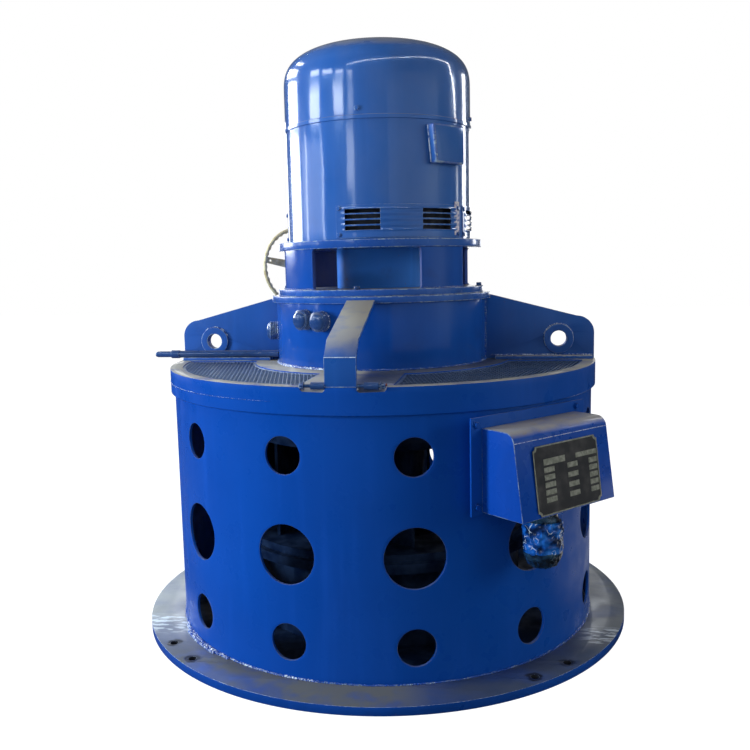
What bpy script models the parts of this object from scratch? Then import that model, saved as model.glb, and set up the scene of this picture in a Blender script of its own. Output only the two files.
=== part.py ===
# Vertical propeller water turbine with its generator on top.
# Metres, +Z up. The origin is the centre of the base flange's underside.
# Azimuth 0 is the front (-Y), where the bent strap comes down; it grows towards +X.
import math

import bmesh
import bpy
from mathutils import Matrix, Vector

TOUCH = 0.0003            # gap left where two pieces rest on each other
MERGE = 0.00001           # merge distance for turned profiles

# Base flange and perforated drum
BASE_RADIUS = 0.800
BASE_BORE = 0.430
BASE_THICK = 0.025
ANCHOR_CIRCLE = 0.765
ANCHOR_RADIUS = 0.012
ANCHOR_SPREAD = 5.0       # degrees each side of a pair's middle
DRUM_RADIUS = 0.688
DRUM_WALL = 0.008
DRUM_COLUMNS = 12
FIRST_COLUMN = 15.0
HOLE_ROWS = ((0.128, 0.053, 16), (0.377, 0.085, 24), (0.652, 0.053, 16))

# Rim band, deck and gratings
RIM_RADIUS = 0.700
RIM_INNER = 0.662
RIM_LOW = 0.765
DECK_TOP = 0.841
DECK_THICK = 0.020
GRATE_INNER = 0.425
GRATE_OUTER = 0.660
GRATE_THICK = 0.012
GRATE_DROP = 0.002        # top of a grating below the deck's top
FRONT_STRIP_HALF = 0.125
SIDE_STRIP_HALF = 0.060
SLOT_COLUMNS = 5
SLOT_FIRST = 24.0         # degrees
SLOT_PITCH = 11.0
SLOT_HALF = 4.0
SLOT_ROWS = ((0.455, 0.535), (0.550, 0.632))
SCOOPS = ((-0.118, -0.0485), (0.0355, 0.113))   # hollows in the deck's edge on both sides of the strap
SCOOP_START = 0.645       # distance in front of the axis where a hollow begins
SCOOP_DROP = 0.0138       # its depth at the deck's edge

# Turbine housing, cover and generator frame
HOUSING_RADIUS = 0.348
COVER_RADIUS = 0.363
COVER_LOW = 1.042
COVER_HIGH = 1.062
FOOT_RING_RADIUS = 0.341
FOOT_RING_HIGH = 1.0825
FRAME_RADIUS = 0.329
FRAME_WALL = 0.012
WINDOW_HALF = 30.5        # degrees
TOP_FLANGE_RADIUS = 0.335
TOP_FLANGE_LOW = 1.2065
TOP_FLANGE_HIGH = 1.231
BEARING_RADIUS = 0.145

# Generator
GENERATOR_RADIUS = 0.301
SEAM = 1.5815
DOME_RADIUS = 0.302
DOME_LIP = 0.305
DOME_LIP_HIGH = 1.5925
DOME_SPRING = 1.7125      # the dome's side is straight up to here
DOME_TOP = 1.8505
DOME_SIDE_POWER = 3.0     # superellipse of the dome's shoulder
DOME_CROWN_POWER = 2.9
TERMINAL_AZIMUTH = 49.5
TERMINAL_MIDDLE = 1.510
TERMINAL_WIDTH = 0.134
TERMINAL_TALL = 0.114
TERMINAL_PROUD = 0.026
COVER_PLATE_THICK = 0.004
COVER_PLATE_LOW = 1.236
COVER_PLATE_HIGH = 1.334
COVER_PLATE_HALF = 40.5   # degrees
COVER_PLATE_MIDDLES = (23.5, 108.5, -120.5)

# Lifting ears
EAR_THICK = 0.020
EAR_BOSS_RADIUS = 0.048
EAR_BOSS_PROUD = 0.008
EAR_HOLE_RADIUS = 0.0255
EAR_HOLE_X = 0.585
EAR_HOLE_Z = 0.906
EAR_TIP = 0.698
EAR_CORNER = 0.055
EAR_ROOT_HIGH = 1.053
EAR_TIP_HIGH = 0.979
EAR_PAD_HALF = 0.045
EAR_PAD_THICK = 0.010
EAR_PAD_INSET = 0.006
EAR_PAD_LENGTH = 0.318

# Drain pipe in front of the left ear, and the capped pipe stubs (azimuth, height)
PIPE_RADIUS = 0.0115
PIPE_FRONT = -0.032
COLLAR_RADIUS = 0.0130
NIPPLE_RADIUS = 0.0095
PIPE_ROOT = 0.352
COLLAR_START = 0.706
PIPE_END = 0.715
NIPPLE_START = 0.730
COLLAR_END = 0.738
NIPPLE_END = 0.794
PLUGS = ((-34.5, 0.993), (-23.5, 0.990), (-74.0, 0.950))
PLUG_LENGTH = 0.045
PLUG_NECK = 0.0215
PLUG_CAP = 0.027
PLUG_CAP_START = 0.018
PLUG_BEVEL = 0.004

# Bent strap and its cross pin
STRAP_SIDE = -0.0065      # the strap's middle, left of the front
STRAP_WIDTH = 0.085
STRAP_THICK = 0.008
STRAP_TOP = 1.0525        # top of the strap's end, welded to the cover's rim
STRAP_KNEE = 0.655        # first bend
STRAP_KNEE_HIGH = 0.963
STRAP_CREASE_HIGH = 0.919
STRAP_LEAN = 0.009        # drop of the underside below the top at the bends
PIN_RADIUS = 0.005
PIN_REACH = 0.692
PIN_HEIGHT = 0.8443
PIN_ENDS = (-0.1175, 0.1105)
SLEEVE_RADIUS = 0.0093
SLEEVES = ((-0.0862, -0.0495), (0.0555, 0.0930))

# Junction box on the drum
BOX_AZIMUTH = 47.0
BOX_MIDDLE = -0.045
BOX_WIDTH = 0.374
BOX_LOW = 0.503
BOX_HIGH = 0.727
BOX_FRONT_LOW = 0.840
BOX_FRONT_HIGH = 0.810
BOX_ROUNDING = 0.030
PLATE_THICK = 0.010
PLATE_LEFT = -0.270
PLATE_RIGHT = 0.185
PLATE_LOW = 0.496
PLATE_HIGH = 0.757
SPACER_INNER = 0.150
SPACER_OUTER = 0.180
SPACER_INSET = 0.015
NAMEPLATE_LEFT = -0.128
NAMEPLATE_RIGHT = 0.129
NAMEPLATE_LOW = 0.004
NAMEPLATE_HIGH = 0.184
NAMEPLATE_THICK = 0.0025
OUTLET_SIDE = -0.078
OUTLET_REACH = 0.772
OUTLET_SHAPE = ((0.040, 0.0), (0.044, -0.028), (0.057, -0.042), (0.057, -0.110), (0.050, -0.148), (0.028, -0.166))

# Handwheel behind the frame
WHEEL_AZIMUTH = -137.6
WHEEL_REACH = 0.578
WHEEL_HEIGHT = 1.161
WHEEL_RADIUS = 0.150
WHEEL_GRIP = 0.0065
WHEEL_SPOKES = 3
SPOKE_THICK = 0.005
SPOKE_ROOT_HALF = 0.016
SPOKE_TIP_HALF = 0.0115
SPOKE_TURN = 11.0         # degrees from the wheel's level line to its first spoke
HUB_RADIUS = 0.026
HUB_BACK = -0.014
HUB_FRONT = 0.012
SPINDLE_RADIUS = 0.0125
SPINDLE_BACK = -0.083
SPINDLE_FRONT = 0.024
BORE_GAP = 0.0007
BORE_DEPTH = 0.042
GEARBOX_ROOT = 0.372
GEARBOX_LEG = 0.428
GEARBOX_FACE = 0.530
GEARBOX_HALF = 0.050
GEARBOX_LOW = 1.105
GEARBOX_TOP = 1.217

# Water passage inside the drum
CHAMBER_INNER = 0.440
CHAMBER_OUTER = 0.456
CHAMBER_FLANGE_RADIUS = 0.520
CHAMBER_FLANGE_LOW = 0.272
CHAMBER_TOP = 0.300
GUIDE_INNER = 0.330
GUIDE_OUTER = 0.500
GUIDE_THICK = 0.022
GUIDE_TOP = 0.620
GUIDE_SEGMENTS = 6
VANE_CIRCLE = 0.395
VANE_LENGTH = 0.110
VANE_THICK = 0.010
VANE_TURN = 35.0          # degrees from the radius
VANE_SPREAD = 15.0        # degrees each side of a segment's middle
CROWN_INNER = 0.320
CROWN_NECK = 0.360
CROWN_RADIUS = 0.460
CROWN_EDGE = 0.640
COVER_CONE = ((0.150, 0.620), (0.112, 0.253))   # inner head cover round the shaft
SHAFT_RADIUS = 0.050
HUB_TOP = 0.250
RUNNER_HUB = ((0.110, HUB_TOP), (0.120, 0.160), (0.060, 0.075))
RUNNER_HUB_LOW = 0.070
BLADE_MIDDLE = 0.180
BLADE_ROOT = 0.080
BLADE_TIP = 0.400
BLADE_HALF_CHORD = 0.110
BLADE_THICK = 0.012
BLADE_PITCH = 25.0        # degrees
BLADES = 4

for leftover in list(bpy.data.objects):
    bpy.data.objects.remove(leftover, do_unlink=True)

parts = bpy.data.collections.new("propeller_water_turbine")
cutters = bpy.data.collections.new("cutters")
bpy.context.scene.collection.children.link(parts)
bpy.context.scene.collection.children.link(cutters)


def paint(name, color, roughness, metallic):
    material = bpy.data.materials.new(name)
    material.use_nodes = True
    shader = material.node_tree.nodes["Principled BSDF"]
    shader.inputs["Base Color"].default_value = (*color, 1.0)
    shader.inputs["Roughness"].default_value = roughness
    shader.inputs["Metallic"].default_value = metallic
    return material


BLUE = ((0.010, 0.075, 0.360), 0.28, 0.0)
DARK_BLUE = ((0.008, 0.040, 0.180), 0.45, 0.0)
STEEL = ((0.350, 0.340, 0.320), 0.45, 0.9)
BLACK = ((0.020, 0.020, 0.022), 0.40, 0.0)
CREAM = ((0.620, 0.500, 0.260), 0.40, 0.3)
FILM = ((0.030, 0.090, 0.300), 0.30, 0.0)


def place(name, mesh, finish, home=parts):
    thing = bpy.data.objects.new(name, mesh)
    home.objects.link(thing)
    if home is cutters:
        thing.hide_render = True
        thing.display_type = "WIRE"
    else:
        mesh.materials.clear()
        mesh.materials.append(paint(name, *finish))
    return thing


def finish_mesh(name, shape, smooth=True):
    mesh = bpy.data.meshes.new(name)
    shape.to_mesh(mesh)
    shape.free()
    if smooth:
        mesh.shade_smooth()
        mesh.set_sharp_from_angle(angle=math.radians(30))
    return mesh


def polar(azimuth, radius, height=0.0):
    turn = math.radians(azimuth)
    return Vector((radius * math.sin(turn), -radius * math.cos(turn), height))


def radial_frame(azimuth, radius, height):
    """Local X runs along growing azimuth, local -Y outwards, local Z up."""
    return Matrix.Translation(polar(azimuth, radius, height)) @ Matrix.Rotation(math.radians(azimuth), 4, "Z")


def block(name, low, high, finish=BLUE, matrix=None, home=parts):
    shape = bmesh.new()
    bmesh.ops.create_cube(shape, size=1.0)
    size = Vector(high) - Vector(low)
    middle = (Vector(high) + Vector(low)) / 2
    bmesh.ops.scale(shape, vec=size, verts=shape.verts)
    bmesh.ops.translate(shape, vec=middle, verts=shape.verts)
    thing = place(name, finish_mesh(name, shape, smooth=False), finish, home)
    if matrix is not None:
        thing.matrix_world = matrix
    return thing


def rod(name, radius, start, end, sides, finish=BLUE, home=parts):
    """A straight cylinder from start to end."""
    start = Vector(start)
    along = Vector(end) - start
    shape = bmesh.new()
    bmesh.ops.create_cone(shape, cap_ends=True, segments=sides, radius1=radius, radius2=radius,
                          depth=along.length)
    bmesh.ops.translate(shape, vec=(0, 0, along.length / 2), verts=shape.verts)
    thing = place(name, finish_mesh(name, shape), finish, home)
    thing.matrix_world = Matrix.Translation(start) @ along.to_track_quat("Z", "Y").to_matrix().to_4x4()
    return thing


def drum_disc(name, radius, low, high, finish=BLUE, sides=72, home=parts):
    return rod(name, radius, (0, 0, low), (0, 0, high), sides, finish, home)


def bent_block(name, inner, outer, low, high, start, end, steps, finish=BLUE, home=parts):
    """A box bent round the axis: a stretch of cylindrical wall."""
    shape = bmesh.new()
    bmesh.ops.create_cube(shape, size=1.0)
    along = [edge for edge in shape.edges
             if abs(edge.verts[0].co.x - edge.verts[1].co.x) > 0.5]
    if steps > 1:
        bmesh.ops.subdivide_edges(shape, edges=along, cuts=steps - 1)
    for vertex in shape.verts:
        share = vertex.co.x + 0.5
        radius = outer if vertex.co.y < 0 else inner
        height = low if vertex.co.z < 0 else high
        vertex.co = polar(start + (end - start) * share, radius, height)
    return place(name, finish_mesh(name, shape), finish, home)


def turned(name, profile, finish=BLUE, steps=72, matrix=None, home=parts):
    """Profile of (radius, height) points, turned once round local Z."""
    mesh = bpy.data.meshes.new(name)
    points = [(radius, 0.0, height) for radius, height in profile]
    closed = profile[0][0] > 0.0 or profile[-1][0] > 0.0
    edges = [(i, i + 1) for i in range(len(points) - 1)]
    if closed:
        edges.append((len(points) - 1, 0))
    mesh.from_pydata(points, edges, [])
    thing = place(name, mesh, finish, home)
    screw = thing.modifiers.new("turn", "SCREW")
    screw.angle = math.tau
    screw.steps = steps
    screw.render_steps = steps
    screw.use_merge_vertices = True
    screw.merge_threshold = MERGE
    if matrix is not None:
        thing.matrix_world = matrix
    return thing


def arc(center, radius, start, end, count):
    """Points on an arc in a flat outline; angles in degrees from local X."""
    points = []
    for i in range(count + 1):
        turn = math.radians(start + (end - start) * i / count)
        points.append((center[0] + radius * math.cos(turn), center[1] + radius * math.sin(turn)))
    return points


def plate(name, outlines, low, high, finish=BLUE, matrix=None, home=parts):
    """A flat outline, with its holes as further outlines, extruded from low to high."""
    curve = bpy.data.curves.new(name, "CURVE")
    curve.dimensions = "2D"
    curve.fill_mode = "BOTH"
    curve.extrude = (high - low) / 2
    for outline in outlines:
        spline = curve.splines.new("POLY")
        spline.points.add(len(outline) - 1)
        for point, (x, y) in zip(spline.points, outline):
            point.co = (x, y, 0.0, 1.0)
        spline.use_cyclic_u = True
    drawn = bpy.data.objects.new(name + "_outline", curve)
    cutters.objects.link(drawn)
    bpy.context.view_layer.update()
    solid = bpy.data.meshes.new_from_object(drawn.evaluated_get(bpy.context.evaluated_depsgraph_get()))
    bpy.data.objects.remove(drawn, do_unlink=True)
    shape = bmesh.new()
    shape.from_mesh(solid)
    bpy.data.meshes.remove(solid)
    bmesh.ops.remove_doubles(shape, verts=shape.verts, dist=MERGE)
    bmesh.ops.translate(shape, vec=(0, 0, (high + low) / 2), verts=shape.verts)
    thing = place(name, finish_mesh(name, shape), finish, home)
    if matrix is not None:
        thing.matrix_world = matrix
    return thing


def boolean(thing, other, operation):
    change = thing.modifiers.new(other.name, "BOOLEAN")
    change.operation = operation
    change.solver = "EXACT"
    change.object = other


def cut(thing, *others):
    for other in others:
        boolean(thing, other, "DIFFERENCE")


def fuse(thing, *others):
    for other in others:
        boolean(thing, other, "UNION")


UPRIGHT = Matrix.Rotation(math.radians(90), 4, "X")      # outline X stays, outline Y points up


def side_view(azimuth):
    """Outline X runs outwards from the axis, outline Y up, thickness along the tangent."""
    return Matrix.Rotation(math.radians(azimuth - 90.0), 4, "Z") @ UPRIGHT


def base_flange():
    holes = []
    for quarter in range(4):
        for side in (-1, 1):
            center = polar(45.0 + 90.0 * quarter + side * ANCHOR_SPREAD, ANCHOR_CIRCLE)
            holes.append(arc(center.xy, ANCHOR_RADIUS, 0, 345, 23)[::2])
    outlines = [arc((0, 0), BASE_RADIUS, 0, 355, 71), arc((0, 0), BASE_BORE, 0, 355, 71)]
    plate("base_flange", outlines + holes, 0.0, BASE_THICK)


def drum():
    low = BASE_THICK + TOUCH
    high = RIM_LOW - TOUCH
    pitch = 360.0 / DRUM_COLUMNS
    margin = math.degrees(TOUCH / 2 / DRUM_RADIUS)
    for column in range(DRUM_COLUMNS):
        middle = FIRST_COLUMN + pitch * column
        wall = bent_block(f"drum_wall_{column + 1:02d}", DRUM_RADIUS - DRUM_WALL, DRUM_RADIUS, low, high,
                          middle - pitch / 2 + margin, middle + pitch / 2 - margin, 6)
        for row, (height, radius, sides) in enumerate(HOLE_ROWS):
            drill = rod(f"drum_drill_{column + 1}_{row + 1}", radius, polar(middle, 0.60, height),
                        polar(middle, 0.75, height), sides, home=cutters)
            cut(wall, drill)


def mirrored(quarter, point):
    """A point of the first quarter, mirrored into the quarter with this number."""
    flip_x = -1 if quarter in (1, 2) else 1
    flip_y = -1 if quarter in (2, 3) else 1
    return (point.x * flip_x, point.y * flip_y)


def grating_outline(quarter, inset):
    """One quarter's grating opening, shrunk by inset all round."""
    inner = GRATE_INNER + inset
    outer = GRATE_OUTER - inset
    front = FRONT_STRIP_HALF + inset
    side = SIDE_STRIP_HALF + inset
    inner_start = math.degrees(math.asin(front / inner))
    inner_end = math.degrees(math.acos(side / inner))
    outer_start = math.degrees(math.asin(front / outer))
    outer_end = math.degrees(math.acos(side / outer))
    steps = 10
    points = []
    for i in range(steps + 1):
        points.append(polar(inner_start + (inner_end - inner_start) * i / steps, inner))
    for i in range(steps + 1):
        points.append(polar(outer_end + (outer_start - outer_end) * i / steps, outer))
    return [mirrored(quarter, point) for point in points]


def deck():
    """The deck plate with its grating openings and the two hollows beside the strap, on the rim band."""
    outline = arc((0, 0), RIM_RADIUS, 0, 355, 71)
    openings = [grating_outline(quarter, 0.0) for quarter in range(4)]
    top = plate("deck_plate", [outline] + openings, DECK_TOP - DECK_THICK, DECK_TOP)
    over = DECK_TOP + SCOOP_DROP
    beyond = 2 * RIM_RADIUS - SCOOP_START
    wedge = [(SCOOP_START, DECK_TOP), (beyond, DECK_TOP - 2 * SCOOP_DROP), (beyond, over), (SCOOP_START, over)]
    for number, (left, right) in enumerate(SCOOPS):
        cut(top, plate(f"deck_scoop_{number + 1}", [wedge], -right, -left, matrix=side_view(0.0), home=cutters))
    plate("rim_band", [outline, arc((0, 0), RIM_INNER, 0, 355, 71)], RIM_LOW, DECK_TOP - DECK_THICK - TOUCH)


def gratings():
    names = ("grating_front_right", "grating_front_left", "grating_back_left", "grating_back_right")
    top = DECK_TOP - GRATE_DROP
    for quarter, name in enumerate(names):
        panel = plate(name, [grating_outline(quarter, TOUCH)], top - GRATE_THICK, top, DARK_BLUE)
        for column in range(SLOT_COLUMNS):
            left = SLOT_FIRST + SLOT_PITCH * column - SLOT_HALF
            right = left + 2 * SLOT_HALF
            slots = []
            for inner, outer in SLOT_ROWS:
                corners = (polar(left, inner), polar(right, inner), polar(right, outer), polar(left, outer))
                slots.append([mirrored(quarter, corner) for corner in corners])
            cut(panel, plate(f"{name}_slot_{column + 1}", slots, top - 2 * GRATE_THICK, top + GRATE_THICK,
                             home=cutters))


def housing():
    """Turbine housing, its cover, and the windowed frame that carries the generator."""
    drum_disc("turbine_housing", HOUSING_RADIUS, DECK_TOP + TOUCH, COVER_LOW - TOUCH)
    drum_disc("housing_cover", COVER_RADIUS, COVER_LOW, COVER_HIGH)
    drum_disc("frame_foot_ring", FOOT_RING_RADIUS, COVER_HIGH + TOUCH, FOOT_RING_HIGH)
    drum_disc("bearing_housing", BEARING_RADIUS, FOOT_RING_HIGH + TOUCH, TOP_FLANGE_LOW - TOUCH, sides=40)
    half = 45.0 - WINDOW_HALF
    for corner in range(4):
        middle = 45.0 + 90.0 * corner
        bent_block(f"frame_post_{corner + 1}", FRAME_RADIUS - FRAME_WALL, FRAME_RADIUS,
                   FOOT_RING_HIGH + TOUCH, TOP_FLANGE_LOW - TOUCH, middle - half, middle + half, 6)
    drum_disc("frame_top_flange", TOP_FLANGE_RADIUS, TOP_FLANGE_LOW, TOP_FLANGE_HIGH)


def dome_profile(steps):
    """From the crown's middle down over the rounded shoulder to the straight side."""
    points = [(0.0, DOME_TOP)]
    for i in range(1, steps + 1):
        turn = math.radians(90.0 * (steps - i) / steps)
        radius = DOME_RADIUS * math.cos(turn) ** (2 / DOME_SIDE_POWER)
        rise = (DOME_TOP - DOME_SPRING) * math.sin(turn) ** (2 / DOME_CROWN_POWER)
        points.append((radius, DOME_SPRING + rise))
    return points


def generator():
    drum_disc("generator_body", GENERATOR_RADIUS, TOP_FLANGE_HIGH + TOUCH, SEAM - TOUCH)
    lip = [(DOME_RADIUS, DOME_LIP_HIGH + 0.002), (DOME_LIP, DOME_LIP_HIGH), (DOME_LIP, SEAM), (0.0, SEAM)]
    turned("dome_cover", dome_profile(18) + lip)
    inner = GENERATOR_RADIUS + TOUCH
    for number, middle in enumerate(COVER_PLATE_MIDDLES):
        bent_block(f"generator_cover_{number + 1}", inner, inner + COVER_PLATE_THICK, COVER_PLATE_LOW,
                   COVER_PLATE_HIGH, middle - COVER_PLATE_HALF, middle + COVER_PLATE_HALF, 17)
    half = TERMINAL_WIDTH / 2
    tall = TERMINAL_TALL / 2
    terminal = block("generator_terminal_box", (-half, -TERMINAL_PROUD, -tall), (half, half / 2, tall),
                     matrix=radial_frame(TERMINAL_AZIMUTH, GENERATOR_RADIUS, TERMINAL_MIDDLE))
    cut(terminal, drum_disc("terminal_box_seat", GENERATOR_RADIUS + TOUCH, TERMINAL_MIDDLE - 2 * tall,
                            TERMINAL_MIDDLE + 2 * tall, home=cutters))


def lifting_ears():
    low = DECK_TOP + TOUCH
    root = HOUSING_RADIUS + TOUCH
    clear = COVER_RADIUS + TOUCH
    corner = EAR_TIP - EAR_CORNER
    outline = [(root, low), (root, COVER_LOW - TOUCH), (clear, COVER_LOW - TOUCH), (clear, EAR_ROOT_HIGH)]
    outline.append((corner, EAR_TIP_HIGH))
    outline += arc((corner, EAR_TIP_HIGH - EAR_CORNER), EAR_CORNER, 75, 0, 5)
    outline += [(EAR_TIP, low)]
    for name, azimuth in (("lifting_ear_right", 90.0), ("lifting_ear_left", -90.0)):
        ear = plate(name, [outline], -EAR_THICK / 2, EAR_THICK / 2, matrix=side_view(azimuth))
        hole = polar(azimuth, EAR_HOLE_X, EAR_HOLE_Z)
        reach = Vector((0.0, EAR_THICK / 2 + EAR_BOSS_PROUD, 0.0))
        boss = rod(name + "_boss", EAR_BOSS_RADIUS, hole - reach, hole + reach, 24, home=cutters)
        pad = block(name + "_pad", (-EAR_PAD_HALF, EAR_PAD_INSET, 0.0),
                    (EAR_PAD_HALF, EAR_PAD_LENGTH, EAR_PAD_THICK),
                    matrix=radial_frame(azimuth, EAR_TIP, low), home=cutters)
        drill = rod(name + "_drill", EAR_HOLE_RADIUS, hole - 3 * reach, hole + 3 * reach, 24, home=cutters)
        fuse(ear, pad, boss)
        cut(ear, drill)


def drain_pipe():
    """Runs outwards over the left ear's pad and past the deck's edge."""
    height = DECK_TOP + EAR_PAD_THICK + 2 * TOUCH + PIPE_RADIUS

    def along(x):
        return (-x, PIPE_FRONT, height)

    pipe = rod("drain_pipe", PIPE_RADIUS, along(PIPE_ROOT), along(PIPE_END), 12)
    collar = rod("drain_collar", COLLAR_RADIUS, along(COLLAR_START), along(COLLAR_END), 12, home=cutters)
    nipple = rod("drain_nipple", NIPPLE_RADIUS, along(NIPPLE_START), along(NIPPLE_END), 12, home=cutters)
    fuse(pipe, collar, nipple)


def facing_out(azimuth, radius, height):
    """Local Z points outwards from the axis."""
    outwards = polar(azimuth, 1.0).to_track_quat("Z", "Y").to_matrix().to_4x4()
    return Matrix.Translation(polar(azimuth, radius, height)) @ outwards


def plugs():
    profile = [(0.0, PLUG_LENGTH), (PLUG_CAP - PLUG_BEVEL, PLUG_LENGTH), (PLUG_CAP, PLUG_LENGTH - PLUG_BEVEL)]
    profile += [(PLUG_CAP, PLUG_CAP_START), (PLUG_NECK, PLUG_CAP_START), (PLUG_NECK, 0.0), (0.0, 0.0)]
    for number, (azimuth, height) in enumerate(PLUGS):
        turned(f"pipe_plug_{number + 1}", profile, DARK_BLUE, 12,
               facing_out(azimuth, HOUSING_RADIUS + TOUCH, height))


def strap():
    start = COVER_RADIUS + TOUCH
    outer = RIM_RADIUS - 0.001
    inner = outer - STRAP_THICK
    low = DECK_TOP + TOUCH
    outline = [(start, STRAP_TOP - STRAP_LEAN), (start, STRAP_TOP), (STRAP_KNEE, STRAP_KNEE_HIGH)]
    outline += [(outer, STRAP_CREASE_HIGH), (outer, low), (inner, low)]
    outline += [(inner, STRAP_CREASE_HIGH - STRAP_LEAN), (STRAP_KNEE, STRAP_KNEE_HIGH - STRAP_LEAN)]
    sideways = Matrix.Translation((STRAP_SIDE, 0.0, 0.0))
    plate("strap", [outline], -STRAP_WIDTH / 2, STRAP_WIDTH / 2, matrix=sideways @ side_view(0.0))
    for name, side, end, sleeve in zip(("left", "right"), (-1, 1), PIN_ENDS, SLEEVES):
        root = STRAP_SIDE + side * (STRAP_WIDTH / 2 + TOUCH)
        level = Matrix.Translation((0.0, -PIN_REACH, PIN_HEIGHT))
        pin = rod("strap_pin_" + name, PIN_RADIUS, level @ Vector((root, 0, 0)), level @ Vector((end, 0, 0)), 12)
        fuse(pin, rod("strap_sleeve_" + name, SLEEVE_RADIUS, level @ Vector((sleeve[0], 0, 0)),
                      level @ Vector((sleeve[1], 0, 0)), 12, home=cutters))


def junction_box():
    """Flat plate on two spacers against the drum, with the box and its nameplate in front."""
    matrix = radial_frame(BOX_AZIMUTH, 0.0, 0.0)
    seat = DRUM_RADIUS + TOUCH
    back = seat + PLATE_THICK
    mount = block("junction_box_plate", (PLATE_LEFT, -back, PLATE_LOW), (PLATE_RIGHT, -seat, PLATE_HIGH),
                  matrix=matrix)
    reach = math.sqrt(DRUM_RADIUS ** 2 - SPACER_INNER ** 2) + 2 * TOUCH
    for side in (-1, 1):
        ends = sorted((side * SPACER_INNER, side * SPACER_OUTER))
        spacer = block(f"box_spacer_{side}", (ends[0], -seat - PLATE_THICK / 2, PLATE_LOW + SPACER_INSET),
                       (ends[1], -reach, PLATE_HIGH - SPACER_INSET), matrix=matrix, home=cutters)
        fuse(mount, spacer)
    front = back + TOUCH
    outline = [(front, BOX_LOW), (BOX_FRONT_LOW, BOX_LOW)]
    outline += arc((BOX_FRONT_HIGH - BOX_ROUNDING, BOX_HIGH - BOX_ROUNDING), BOX_ROUNDING, 8, 90, 5)
    outline += [(front, BOX_HIGH)]
    sideways = matrix @ Matrix.Translation((BOX_MIDDLE, 0, 0))
    plate("junction_box", [outline], -BOX_WIDTH / 2, BOX_WIDTH / 2, matrix=sideways @ side_view(0.0))
    lean = math.atan2(BOX_FRONT_LOW - BOX_FRONT_HIGH, BOX_HIGH - BOX_LOW)
    face = Matrix.Translation((0.0, -BOX_FRONT_LOW, BOX_LOW)) @ Matrix.Rotation(-lean, 4, "X")
    block("nameplate", (NAMEPLATE_LEFT, -TOUCH - NAMEPLATE_THICK, NAMEPLATE_LOW),
          (NAMEPLATE_RIGHT, -TOUCH, NAMEPLATE_HIGH), BLACK, matrix=sideways @ face)
    bundle = [(0.0, 0.0)] + list(OUTLET_SHAPE) + [(0.0, OUTLET_SHAPE[-1][1])]
    turned("cable_outlet", bundle, FILM, 16,
           matrix @ Matrix.Translation((OUTLET_SIDE, -OUTLET_REACH, BOX_LOW - TOUCH)))


def handwheel():
    pose = facing_out(WHEEL_AZIMUTH, WHEEL_REACH, WHEEL_HEIGHT)
    bpy.ops.mesh.primitive_torus_add(major_segments=36, minor_segments=8,
                                     major_radius=WHEEL_RADIUS - WHEEL_GRIP, minor_radius=WHEEL_GRIP)
    ring = bpy.context.object
    wheel = place("handwheel", ring.data, CREAM)
    bpy.data.objects.remove(ring, do_unlink=True)
    wheel.matrix_world = pose

    def on_axis(height):
        return pose @ Vector((0.0, 0.0, height))

    spindle = rod("handwheel_spindle", SPINDLE_RADIUS, on_axis(SPINDLE_BACK), on_axis(SPINDLE_FRONT), 16,
                  home=cutters)
    hub = rod("handwheel_hub", HUB_RADIUS, on_axis(HUB_BACK), on_axis(HUB_FRONT), 20, home=cutters)
    fuse(wheel, hub, spindle)
    root = SPINDLE_RADIUS
    tip = WHEEL_RADIUS - WHEEL_GRIP
    outline = [(root, -SPOKE_ROOT_HALF), (tip, -SPOKE_TIP_HALF), (tip, SPOKE_TIP_HALF), (root, SPOKE_ROOT_HALF)]
    for spoke in range(WHEEL_SPOKES):
        turn = Matrix.Rotation(math.tau * spoke / WHEEL_SPOKES + math.radians(SPOKE_TURN), 4, "Z")
        fuse(wheel, plate(f"handwheel_spoke_{spoke + 1}", [outline], -SPOKE_THICK / 2, SPOKE_THICK / 2,
                          matrix=pose @ turn, home=cutters))


def handwheel_gearbox():
    """A leg beside the housing with a head that carries the handwheel's spindle."""
    low = DECK_TOP + TOUCH
    slope = (GEARBOX_LEG - GEARBOX_ROOT) / 2
    outline = [(GEARBOX_ROOT, low), (GEARBOX_LEG, low), (GEARBOX_LEG, GEARBOX_LOW - slope),
               (GEARBOX_LEG + slope, GEARBOX_LOW), (GEARBOX_FACE, GEARBOX_LOW), (GEARBOX_FACE, GEARBOX_TOP),
               (GEARBOX_ROOT + slope, GEARBOX_TOP), (GEARBOX_ROOT, GEARBOX_TOP - slope)]
    body = plate("handwheel_gearbox", [outline], -GEARBOX_HALF, GEARBOX_HALF, matrix=side_view(WHEEL_AZIMUTH))
    bore = rod("gearbox_bore", SPINDLE_RADIUS + BORE_GAP,
               polar(WHEEL_AZIMUTH, GEARBOX_FACE - BORE_DEPTH, WHEEL_HEIGHT),
               polar(WHEEL_AZIMUTH, GEARBOX_FACE + BORE_DEPTH, WHEEL_HEIGHT), 24, home=cutters)
    cut(body, bore)


def runner_chamber():
    low = BASE_THICK + TOUCH
    under = CHAMBER_FLANGE_LOW - TOUCH
    turned("runner_chamber", [(CHAMBER_INNER, under), (CHAMBER_OUTER, under), (CHAMBER_OUTER, low),
                              (CHAMBER_INNER, low)], STEEL)
    turned("chamber_flange", [(CHAMBER_INNER, CHAMBER_TOP), (CHAMBER_FLANGE_RADIUS, CHAMBER_TOP),
                              (CHAMBER_FLANGE_RADIUS, CHAMBER_FLANGE_LOW), (CHAMBER_INNER, CHAMBER_FLANGE_LOW)],
           STEEL)


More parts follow.
